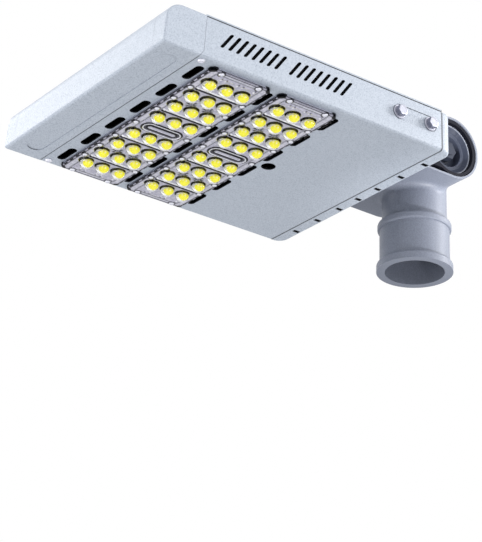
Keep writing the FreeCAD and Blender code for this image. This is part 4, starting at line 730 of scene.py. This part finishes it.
# %% [markdown]
# ## Painted shade and highlights of the moulding
# In clear plastic each slope of the relief bends the view to something dark or something bright, and that
# is what shows of it. Real refraction would do the same, but at a pixel or two a line it is only noise. So
# the lines are painted: each vertex gets a share of painted shade and a share of painted highlight from its
# distance to the nearest line of each kind, and the group of painted shade and highlights turns them into
# colour, gloss and metal.

# %% Shares of painted shade and painted highlight on the plate
DASH_STEP = 10.7 * MM


def plate_shade_and_highlights(x, y):
    """Shares of painted shade and of painted highlight, each the strongest of the lines near a point."""
    inside = np.minimum(DECK_HALF[0] - np.abs(x), DECK_HALF[1] - np.abs(y))
    edge = np.minimum(PLATE_HALF[0] - np.abs(x), PLATE_HALF[1] - np.abs(y))
    cut = np.hypot(PLATE_HALF[0] - np.abs(x), PLATE_HALF[1] - np.abs(y))
    on_deck = inside > 0
    groove = np.abs(y[..., None] - GROOVES_Y)
    away_from_star = np.hypot(x[..., None] - STAR_SPOTS[:, 0], y[..., None] - STAR_SPOTS[:, 1])
    star, nearest = away_from_star.min(-1), STAR_SPOTS[away_from_star.argmin(-1)]
    spokes = 0.5 + 0.5 * np.cos(6 * np.arctan2(y - nearest[..., 1], x - nearest[..., 0]))
    screw = np.hypot(np.abs(x)[..., None] - SIDE_SCREW_X, y[..., None] - SIDE_SCREW_Y).min(-1)
    corner = np.hypot(np.abs(x) - CORNER_SCREW[0], np.abs(y) - CORNER_SCREW[1])
    ring, core = distance_to_slot(x, y, **RING), distance_to_slot(x, y, **RING_CORE)
    ticks = np.max(bump_line(x[..., None] - TICK_X, 1.3 * MM), -1)
    dashes = rise(np.cos(2 * np.pi * y / DASH_STEP) + 0.35, 0.3)
    # Painted shade: grooves, edges, dashes, the deck's foot, black crescents in the wells, stars, screws,
    # corners, ring, ticks
    dark = np.max([
        stroke(groove.min(-1), 1.9 * MM) * on_deck,                         # grooves
        0.8 * stroke(edge - 1.9 * MM, 1.0 * MM),                            # line along the flange
        0.5 * stroke(edge, 0.6 * MM),                                       # outer edge
        dashes * stroke(PLATE_HALF[0] - np.abs(x) - 0.8 * MM, 1.1 * MM),    # dashes on the long sides
        0.6 * stroke(inside + 1.0 * MM, 1.2 * MM),                          # foot of the deck
        in_wells(x, y),                                                     # wells beside the domes
        stroke(star - 2.9 * MM, 3.6 * MM) * (0.35 + 0.65 * spokes),         # stars
        0.9 * stroke(screw - 3.2 * MM, 1.0 * MM),                           # round the side screws
        0.9 * stroke(corner - 3.6 * MM, 1.0 * MM),                          # round the corner screws
        rise(6.5 * MM - cut, 0.8 * MM),                                     # corners of the plate
        stroke(ring - 1.5 * MM, 1.4 * MM),                                  # outside of the ring
        0.9 * stroke(ring + 1.6 * MM, 1.0 * MM),                            # inside of the ring
        stroke(core - 1.8 * MM, 1.9 * MM),                                  # round the ring's core
        0.8 * ticks * stroke(np.abs(y) - TICK_Y, 1.6 * MM),                 # ticks
    ], axis=0)
    # Painted highlights: beside the grooves, on the flange, on the stars, ring, core and ticks
    pale = np.max([
        0.9 * stroke(y[..., None] - GROOVES_Y - 3.0 * MM, 1.2 * MM).max(-1) * on_deck,      # by the grooves
        0.25 * rise(-inside, 0.5 * MM) * rise(edge - 2.8 * MM, 0.5 * MM),                   # flange
        0.7 * stroke(star - 2.9 * MM, 3.6 * MM) * (1 - spokes) ** 2,                        # stars
        0.8 * stroke(ring, 0.9 * MM),                                                       # top of the ring
        0.4 * stroke(core, 0.8 * MM),                                                       # top of its core
        0.9 * ticks * stroke(np.abs(y) - TICK_Y + 2.6 * MM, 1.6 * MM),                      # by the ticks
    ], axis=0)
    return dark, pale * (1 - 0.8 * dark)


# %% Grid of the plate: even lines, with more of them on the deck's walls
LINES_ACROSS, LINES_ALONG = 118, 440
RIM_REACH = 0.32 * MM


def grid_lines(half, deck_half, even):
    """Grid lines from -half to half: evenly spaced, and close together at the deck's wall and at the edge."""
    wall = deck_half - np.linspace(0, DECK_WALL, 5)
    edge = half - np.linspace(0, EDGE_ROUND, 4)
    close = np.concatenate([wall, edge])
    return np.unique(np.round(np.concatenate([np.linspace(-half, half, even), close, -close]), 7))


def onto_windows(x, y):
    """Points close to a window's rim moved out or in to it, along the line to its lens."""
    from_x, from_y = x[..., None] - LENS_SPOTS[:, 0], y[..., None] - LENS_SPOTS[:, 1]
    nearest = np.hypot(from_x, from_y).argmin(-1)[..., None]
    from_x = np.take_along_axis(from_x, nearest, -1)[..., 0]
    from_y = np.take_along_axis(from_y, nearest, -1)[..., 0]
    reach = np.hypot(from_x, from_y)
    at_rim = np.abs(reach - WINDOW_RADIUS) < RIM_REACH
    share = np.where(at_rim, WINDOW_RADIUS / np.maximum(reach, MM) - 1, 0)
    return x + from_x * share, y + from_y * share, reach < WINDOW_RADIUS + RIM_REACH


def lens_plate(centre_x):
    """Face at height f(x, y) on a grid, a skirt up to the flange's top, and corners cut at 45 degrees."""
    x, y = np.meshgrid(grid_lines(PLATE_HALF[0], DECK_HALF[0], LINES_ACROSS),
                       grid_lines(PLATE_HALF[1], DECK_HALF[1], LINES_ALONG), indexing="ij")
    x, y, in_window = onto_windows(x, y)
    face = np.stack([x, y, FLANGE_FACE - plate_height(x, y)], -1)
    skirt = np.pad(face, ((1, 1), (1, 1), (0, 0)), mode="edge")
    for edge in (np.s_[0, :], np.s_[-1, :], np.s_[:, 0], np.s_[:, -1]):
        skirt[edge][..., 2] = PLATE_TOP
    room = PLATE_HALF[0] - np.maximum(np.abs(skirt[..., 1]) - (PLATE_HALF[1] - CORNER_CUT), 0)
    skirt[..., 0] *= room / PLATE_HALF[0]
    skirt[..., 0] += centre_x
    rows, columns = skirt.shape[:2]
    faces = grid_faces(rows, columns, closed=False)
    open_faces = np.pad(in_window, 1).ravel()[faces].all(-1)
    return skirt.reshape(-1, 3), faces[~open_faces]


print(len(grid_lines(PLATE_HALF[0], DECK_HALF[0], LINES_ACROSS)), "lines across the plate")

# %% The moulded plastic: dull and dark where shade is painted, glossy elsewhere
plate_plastic = new_material("Moulded lens plate", cast_skin, 0.04 * MM,
                             {"Coat Roughness": 0.06}, Roughness=0.18, Lumps=420.0, Pores=1.0)
plate_painted = put_before(plate_plastic, shade_and_highlights, Colour=linear(187, 184, 201), Dark=linear(8, 8, 12),
                          Pale=linear(252, 252, 255)).outputs
plate_tree = plate_plastic.node_tree
plate_sockets = plate_tree.nodes["Principled BSDF"].inputs
plate_tree.links.new(plate_painted["Gloss"], plate_sockets["Coat Weight"])
plate_tree.links.new(plate_painted["Metal"], plate_sockets["Metallic"])
print(plate_plastic.name, "has", len(plate_tree.nodes), "nodes")

# %% One plate with its painted shade and highlights
def painted_plate(side, centre_x):
    """Moulded plate of one module, painted with the shares of plate_shade_and_highlights at each of its
    points.
    """
    plate = make_piece(f"moulded_plate_{side}", lens_plate(centre_x), plate_plastic,
                       stands_for=[f"lens_plate_{side}"])
    where = vertex_places(plate)
    dark, pale = plate_shade_and_highlights(where[:, 0] - centre_x, where[:, 1])
    paint(plate, "dark", dark)
    paint(plate, "pale", pale)


print("plates lie at X", [round(centre_x / MM, 1) for centre_x in PLATE_CENTRE_X.values()], "mm")

# %% [markdown]
# ## Domes and light chips
# The domes are clear acrylic, and each one magnifies the yellow chip behind it. Painting the domes yellow
# would be simpler, but only real refraction gives the dark rim and the bright crescent, which move as the
# view does. So the plate has a round hole under each dome, and the dome goes on through it as a clear stem
# down to the chip: with an air gap there, a low view would see nothing but a mirror.

# %% Clear acrylic, with a faint ripple from the mould
RIPPLES_PER_METRE = 260.0
lens_clear = bpy.data.materials.new("Clear acrylic domes")
lens_clear.use_nodes = True
clear_tree = lens_clear.node_tree
clear_shader = clear_tree.nodes["Principled BSDF"]
for label, value in {"Base Color": linear(252, 252, 250), "Roughness": 0.02, "IOR": 1.49,
                     "Transmission Weight": 1.0, "Metallic": 0.0}.items():
    clear_shader.inputs[label].default_value = value
ripple = noise(clear_tree, object_place(clear_tree), RIPPLES_PER_METRE)
ripple_relief = add_node(clear_tree, "Bump", {"Height": ripple, "Distance": 0.05 * MM, "Strength": 0.3})
clear_tree.links.new(ripple_relief.outputs["Normal"], clear_shader.inputs["Normal"])
print(lens_clear.name, "has", len(clear_tree.nodes), "nodes")

# %% Outlines of a dome on its stem and of the phosphor bulge on a chip
DECK_FACE = FLANGE_FACE - DECK_DROP
STEM_RADIUS = WINDOW_RADIUS - 0.05 * MM
chip_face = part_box("led_chips_front")[0].z
STEM_LENGTH = chip_face + 0.6 * MM - DECK_FACE
dome_turn = np.linspace(0, np.pi / 2, 16)[:-1]
DOME_PROFILE = [(0.0, -STEM_LENGTH), (STEM_RADIUS, -STEM_LENGTH), (STEM_RADIUS, 0.0)]
DOME_PROFILE += [(DOME_FOOT * math.cos(a) ** 0.9, DOME_HEIGHT * math.sin(a)) for a in dome_turn]
DOME_PROFILE.append((0.0, DOME_HEIGHT))

BULGE_RADIUS, BULGE_HEIGHT = 3.7 * MM, 2.9 * MM
bulge_turn = np.linspace(0, np.pi / 2, 12)[:-1]
BULGE_PROFILE = [(0.0, 0.0)]
BULGE_PROFILE += [(BULGE_RADIUS * math.cos(a), BULGE_HEIGHT * math.sin(a)) for a in bulge_turn]
BULGE_PROFILE.append((0.0, BULGE_HEIGHT))
print("stem", round(STEM_LENGTH / MM, 2), "mm long")

# %% Domes and bulges of one module; the painted highlights on a bulge are placed by their distance
BULGE_SHIFT = (-0.9 * MM, 0.75 * MM)
HIGHLIGHT_SPOTS = np.array([(0.3, 3.1, -1.2), (2.6, 1.9, -0.6)]) * MM
HIGHLIGHT_REACH = 1.2 * MM
FOOT_SHADE, FOOT_HEIGHT = 0.4, 0.8 * MM


def domes_and_bulges(side, centre_x):
    """A bulge's point gets painted highlight near its chip's highlight spots and painted shade near the
    chip's face.
    """
    dome_spots = np.c_[LENS_SPOTS + (centre_x, 0), np.full(len(LENS_SPOTS), DECK_FACE)]
    make_piece(f"lens_domes_{side}", copies(facing(turned(DOME_PROFILE, 28), DOWN), dome_spots), lens_clear,
               stands_for=[f"lens_plate_{side}"])
    chip_spots = np.c_[LENS_SPOTS + (centre_x, 0) + BULGE_SHIFT, np.full(len(LENS_SPOTS), chip_face)]
    bulges = make_piece(f"phosphor_{side}", copies(facing(turned(BULGE_PROFILE, 32), DOWN), chip_spots),
                        phosphor)
    where = vertex_places(bulges)
    from_chips = where[:, None, :2] - chip_spots[None, :, :2]
    own_chip = chip_spots[np.hypot(from_chips[..., 0], from_chips[..., 1]).argmin(-1)]
    to_spots = [np.linalg.norm(where - own_chip - spot, axis=1) for spot in HIGHLIGHT_SPOTS]
    paint(bulges, "pale", np.max([1 - rise(reach, HIGHLIGHT_REACH) for reach in to_spots], axis=0))
    paint(bulges, "dark", FOOT_SHADE * (1 - rise(chip_face - where[:, 2], FOOT_HEIGHT)))


print(len(LENS_SPOTS), "domes on each module")

# %% Both modules, each with its plate, domes and bulges
for side, centre_x in PLATE_CENTRE_X.items():
    painted_plate(side, centre_x)
    domes_and_bulges(side, centre_x)
print("modules", list(PLATE_CENTRE_X))

# %% [markdown]
# ## Screws and bolts
# The CAD holds the fasteners as plain heads. A real head is turned and stamped: a button head is a shallow
# dome with a cross recess, and a bolt head is a hexagon whose corners a turned cone cuts away. Both are
# one radius or height as a function of the angle, so one grid serves each.

# %% Button head with a cross recess
CROSS_WIDTH, CROSS_LENGTH, CROSS_DEPTH = 0.22, 0.62, 0.55
WALL_SHARE, DOME_CURVE = 0.35, 2.6


def button_head(radius, height, rings=14, count=48):
    """Dome h (1 - (r / R)^curve) over a short wall, with a cross-shaped dip where one axis is near 0."""
    def cross(r, angle):
        x, y = np.abs(r * np.cos(angle)) / radius, np.abs(r * np.sin(angle)) / radius
        arm = rise(CROSS_WIDTH - np.minimum(x, y), 0.14) * rise(CROSS_LENGTH - np.maximum(x, y), 0.12)
        return -CROSS_DEPTH * height * arm

    wall = WALL_SHARE * height
    profile = [(0.0, 0.0), (radius, 0.0)]
    profile += [(r, wall + (height - wall) * (1 - (r / radius) ** DOME_CURVE))
                for r in np.linspace(radius, 0, rings)]
    return turned(profile, count, cross)


# %% Small screws of the modules: corner screws stand for the CAD ones, side screws are new
CORNER_HEAD = (2.8 * MM, 1.5 * MM)
SIDE_HEAD = (2.4 * MM, 1.2 * MM)
SIDE_SEAT = FLANGE_FACE - 0.45 * MM

for side, centre_x in PLATE_CENTRE_X.items():
    corner = np.array([(u * CORNER_SCREW[0], v * CORNER_SCREW[1]) for u in (-1, 1) for v in (-1, 1)])
    corner_spots = np.c_[corner + (centre_x, 0), np.full(len(corner), FLANGE_FACE)]
    make_piece(f"corner_screws_{side}", copies(facing(button_head(*CORNER_HEAD), DOWN), corner_spots),
               pale_zinc, stands_for=[f"plate_screws_{side}"])
    along = np.array([(u * SIDE_SCREW_X, y) for u in (-1, 1) for y in SIDE_SCREW_Y])
    side_spots = np.c_[along + (centre_x, 0), np.full(len(along), SIDE_SEAT)]
    make_piece(f"side_screws_{side}", copies(facing(button_head(*SIDE_HEAD), DOWN), side_spots),
               pale_zinc)

# %% Button screws behind the nose and on the cover
SHELL_HEAD = (3.8 * MM, 2.2 * MM)
SHELL_SCREW_Y = 129.0 * MM
NOSE_SCREW_X = 368.5 * MM
COVER_SCREWS_X = (100.0 * MM, 354.0 * MM)

nose_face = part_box("housing_tray")[0].z
nose_spots = [(NOSE_SCREW_X, sign * SHELL_SCREW_Y, nose_face) for sign in (-1, 1)]
make_piece("nose_button_screws", copies(facing(button_head(*SHELL_HEAD), DOWN), nose_spots),
           pale_zinc, stands_for=["nose_screws"])
cover_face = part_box("top_cover")[1].z
cover_spots = [(x, sign * SHELL_SCREW_Y, cover_face) for x in COVER_SCREWS_X for sign in (-1, 1)]
make_piece("cover_button_screws", copies(facing(button_head(*SHELL_HEAD), UP), cover_spots),
           stainless, stands_for=["cover_screws"])

# %% Hexagon head on its washer
END_SHARE = 0.96
CONE_SPREAD, CONE_FALL = 0.20, 0.13
DISH = ((0.8, 1.0), (0.74, 0.96))


def hexagon_head(flats, height, washer_radius, washer, count=72):
    """Radius at angle a is (flats / 2) / cos(a folded into 60 degrees), capped near the top by a cone.

    Its end is a flat rim round a shallow dish, and the washer is a disc with eased edges.
    """
    angle = np.linspace(0, 2 * np.pi, count, endpoint=False)
    fold = np.mod(angle, np.pi / 3) - np.pi / 6
    hexagon = flats / 2 / np.cos(fold)
    end, centre = np.full(count, END_SHARE * flats / 2), np.zeros(count)
    rings = [(centre, 0.0), (hexagon, 0.0)]
    rings += [(np.minimum(hexagon, end + CONE_SPREAD * flats * t), height * (1 - CONE_FALL * t))
              for t in (1.0, 0.8, 0.6, 0.4, 0.2)]
    rings += [(end, height)] + [(share * end, level * height) for share, level in DISH]
    rings.append((centre, DISH[-1][1] * height))
    radius = np.array([ring for ring, _ in rings])
    z = np.repeat(np.array([level for _, level in rings])[:, None], count, axis=1) + washer
    points = np.stack([radius * np.cos(angle), radius * np.sin(angle), z], -1).reshape(-1, 3)
    rim = 0.25 * washer
    disc = [(0, 0), (washer_radius - rim, 0), (washer_radius, rim), (washer_radius, washer - rim),
            (washer_radius - rim, washer), (0, washer)]
    return together((points, grid_faces(len(rings), count)), turned(disc, count))


# %% Side bolts of the frame, two on each side
BOLT_FLATS, BOLT_HEAD = 10.0 * MM, 5.3 * MM
WASHER_RADIUS, WASHER = 7.2 * MM, 1.6 * MM
BOLTS_X, BOLTS_Z = (99.5 * MM, 139.0 * MM), 83.7 * MM
BOLT_TURN = math.radians(12)

bolt_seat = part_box("frame_bolts")[1].y - BOLT_HEAD - WASHER
head = hexagon_head(BOLT_FLATS, BOLT_HEAD, WASHER_RADIUS, WASHER)
bolt_shapes = []
for direction, sign in ((LEFT, 1), (RIGHT, -1)):
    spots = [(x, sign * bolt_seat, BOLTS_Z) for x in BOLTS_X]
    bolt_shapes.append(copies(facing(head, direction, BOLT_TURN), spots))
make_piece("side_bolts", together(*bolt_shapes), bolt_zinc,
           stands_for=["frame_bolts", "frame_washers"])

# %% [markdown]
# ## Shade in the joint of the cover
# The joint under the cover's edge shows as a dark line of shade along the top of each side. A dark colour on
# the sheet's edge would need its own faces, so a thin black rubber cord is laid in the joint as painted
# shade.

# %% Cord on both sides: a rod with round ends, turned along X
SEAL_RADIUS = 0.55 * MM
SEAL_RUN = (85.0 * MM, 368.5 * MM)
SEAL_INSET = 0.3 * MM
tray_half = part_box("housing_tray")[1].y
seal_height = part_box("top_cover")[0].z
seal_length = SEAL_RUN[1] - SEAL_RUN[0]
seal_end = np.linspace(0, np.pi / 2, 5)
seal_profile = np.concatenate([
    np.c_[SEAL_RADIUS * np.sin(seal_end), SEAL_RADIUS * (1 - np.cos(seal_end))],
    np.c_[SEAL_RADIUS * np.cos(seal_end), seal_length - SEAL_RADIUS * (1 - np.sin(seal_end))],
])
seal_spots = [(SEAL_RUN[0], sign * (tray_half - SEAL_INSET), seal_height) for sign in (-1, 1)]
make_piece("cover_seal", copies(facing(turned(seal_profile, 10), FORWARD), seal_spots), rubber)

# %% [markdown]
# ## Screens behind the slanted slots
# Without something behind them the slots of both sides would line up, and daylight would show through the
# head. What is there can't be seen: only shade shows. A dark woven screen against insects is guessed, put
# there as painted shade; since its weave would be finer than a pixel, a thin pleated band carries it.

# %% Pleated dark band behind the slots of each side, as painted shade
SCREEN_RUN = (158.0 * MM, 366.0 * MM)
SCREEN_LEVELS = (71.0 * MM, 99.0 * MM)
SCREEN_PLACE = 133.9 * MM
PLEAT, PLEAT_DEPTH = 2.0 * MM, 0.2 * MM
SCREEN_HALF = 0.12 * MM

run = np.linspace(*SCREEN_RUN, 420)
pleat = SCREEN_PLACE + PLEAT_DEPTH * np.sin(2 * np.pi * run / PLEAT)
half = np.full(len(run), SCREEN_HALF)
half[[0, -1]] = 0
low, high = np.full(len(run), SCREEN_LEVELS[0]), np.full(len(run), SCREEN_LEVELS[1])
inner, outer = pleat - half, pleat + half
ring = [(run, inner, low), (run, outer, low), (run, outer, high), (run, inner, high)]
screen = np.stack([np.stack(corner, -1) for corner in ring], 1).reshape(-1, 3), grid_faces(len(run), 4)
mirrored = screen[0] * (1, -1, 1), screen[1]
make_piece("slot_screens", together(screen, mirrored), screen_black)

# %% [markdown]
# ## Clamp cups
# Each end of the tilt joint is closed by a turned cup: a thin rim, a cone with low ribs every 30 degrees, a
# flat step and a deep recess for the bolt. The CAD has the plain cup. The finer one is the same profile with
# eased edges, and its ribs are a wave on the cone, so they need no modelling of their own.

# %% Cups with ribs
HINGE_HEIGHT = 121.0 * MM
CUP_PROFILE = np.array([
    (6.2, 38.0), (21.5, 38.0), (21.5, 48.1), (27.6, 48.1), (27.6, 55.6), (27.4, 55.9), (27.1, 56.0),
    (26.6, 56.0), (26.3, 55.8), (25.8, 55.4), (25.0, 54.7), (24.2, 54.0), (23.4, 53.3), (22.6, 52.5),
    (22.0, 52.1), (21.6, 52.0), (18.4, 52.0), (18.0, 51.6), (18.0, 41.8), (17.7, 41.5), (6.2, 41.5),
    (6.2, 38.0),
]) * MM
RIB_STEP = math.radians(30)
RIB_HEIGHT, RIB_HALF = 0.45 * MM, 0.9 * MM
CONE_MIDDLE, CONE_HALF = 24.2 * MM, 2.4 * MM


def cup_ribs(r, angle):
    """Low ridge along every 30 degrees, that fades out at both ends of the cone."""
    off = (np.mod(angle + RIB_STEP / 2, RIB_STEP) - RIB_STEP / 2) * r
    return RIB_HEIGHT * bump_line(off, RIB_HALF) * bump_line(r - CONE_MIDDLE, CONE_HALF)


cup = turned(CUP_PROFILE, 180, cup_ribs)
cups = together(facing(cup, LEFT), facing(cup, RIGHT))
cup_piece = make_piece("ribbed_cups", (cups[0] + (0, 0, HINGE_HEIGHT), cups[1]), cup_coat,
                       body="fitter", stands_for=["clamp_cups"])

# %% Paler rim and step, and a recess painted lighter than the cone as painted light against its shade
RECESS_RADIUS, STEP_MIDDLE, RIM_FROM = 18.2 * MM, 20.2 * MM, 26.0 * MM
cup_places = vertex_places(cup_piece)
cup_reach = np.hypot(cup_places[:, 0], cup_places[:, 2] - HINGE_HEIGHT)
rim_share = 0.9 * rise(cup_reach - RIM_FROM, 0.5 * MM)
step_share = 0.35 * bump_line(cup_reach - STEP_MIDDLE, 2.0 * MM)
paint(cup_piece, "dark", cup_reach < RECESS_RADIUS)
paint(cup_piece, "pale", rim_share + step_share)
print("cups painted at", len(cup_places), "points")

# %% [markdown]
# ## Light and backdrop
# The head hangs in the air in front of white. A white wall would do, but it would also shine on the part
# from one side. Instead the world shows white to the camera, in metal and through glass, and lights the
# part softly at a lower level. Wide lamps add what the photograph shows: a bright nose, a slightly darker
# belly and lit edges on the fitter. The rim lamps stand above the plane of the underside, because from
# below it they would glare on that flat sheet in other views. A small lamp puts the sparkle on the domes,
# and a narrow spot lights the lower lip of the hood.

# %% World
world = bpy.data.worlds.new("studio")
bpy.context.scene.world = world
world.use_nodes = True
world_tree = world.node_tree
world_tree.nodes.clear()
SOFT_LEVEL = 0.75
rays = add_node(world_tree, "LightPath").outputs
seen = largest(world_tree, rays["Is Camera Ray"], rays["Is Glossy Ray"], rays["Is Transmission Ray"])
soft = add_node(world_tree, "Background", {"Color": (0.95, 0.97, 1.0, 1.0), "Strength": SOFT_LEVEL})
white = add_node(world_tree, "Background", {"Color": (1.0, 1.0, 1.0, 1.0), "Strength": 1.0})
both = add_node(world_tree, "MixShader", {0: seen, 1: soft.outputs[0], 2: white.outputs[0]})
world_tree.links.new(both.outputs[0], add_node(world_tree, "OutputWorld").inputs["Surface"])
print("soft light at", SOFT_LEVEL)

# %% Lamps


def hang(light, place, target, power):
    """Lamp at a place, turned to a target, with its power in watts."""
    light.energy = power
    item = bpy.data.objects.new(light.name, light)
    item.location = place
    item.rotation_euler = (Vector(target) - Vector(place)).to_track_quat("-Z", "Y").to_euler()
    bpy.context.scene.collection.objects.link(item)
    print(light.name, power, "W")


def wide_lamp(name, place, target, size, power):
    """Square area lamp."""
    light = bpy.data.lights.new(name, "AREA")
    light.shape = "SQUARE"
    light.size = size
    hang(light, place, target, power)


def narrow_spot(name, place, target, cone, power):
    """Spot lamp with a soft edge."""
    light = bpy.data.lights.new(name, "SPOT")
    light.spot_size = cone
    light.spot_blend = 0.8
    light.shadow_soft_size = 0.08
    hang(light, place, target, power)


MIDDLE = (0.2, 0.0, 0.08)
NECK = (0.0, 0.0, 0.05)
HOOD_LIP = (-0.01, 0.045, 0.095)
wide_lamp("nose lamp", (2.2, 0.6, 0.3), MIDDLE, 0.9, 21.0)
wide_lamp("side lamp", (-0.9, 2.3, 0.2), MIDDLE, 1.4, 13.0)
wide_lamp("dome lamp", (1.30, -1.03, -1.25), MIDDLE, 0.6, 4.0)
wide_lamp("right rim lamp", (-1.3, 0.9, 0.40), NECK, 0.6, 29.0)
wide_lamp("left rim lamp", (0.85, -1.55, 0.9), NECK, 0.8, 12.0)
narrow_spot("hood spot", (-0.3, 1.0, -1.1), HOOD_LIP, math.radians(7), 185.0)

# %% Pale floor, far below the head and wide enough to have no edge in a view from above
FLOOR_LEVEL = -1.4
FLOOR_HALF = 20.0
floor_mesh = bpy.data.meshes.new("floor")
edge = np.array([(-1, -1), (1, -1), (1, 1), (-1, 1)]) * FLOOR_HALF
floor_mesh.from_pydata(np.c_[edge, np.full(4, FLOOR_LEVEL)].tolist(), [], [(0, 1, 2, 3)])
floor = bpy.data.objects.new("floor", floor_mesh)
bpy.context.scene.collection.objects.link(floor)
floor_paint = bpy.data.materials.new("Pale floor")
floor_paint.use_nodes = True
floor_sockets = floor_paint.node_tree.nodes["Principled BSDF"].inputs
floor_sockets["Base Color"].default_value = linear(236, 236, 236)
floor_sockets["Roughness"].default_value = 0.9
floor_mesh.materials.append(floor_paint)
print("floor at", FLOOR_LEVEL)

# %% Finish
bpy.context.scene.view_settings.view_transform = "Standard"
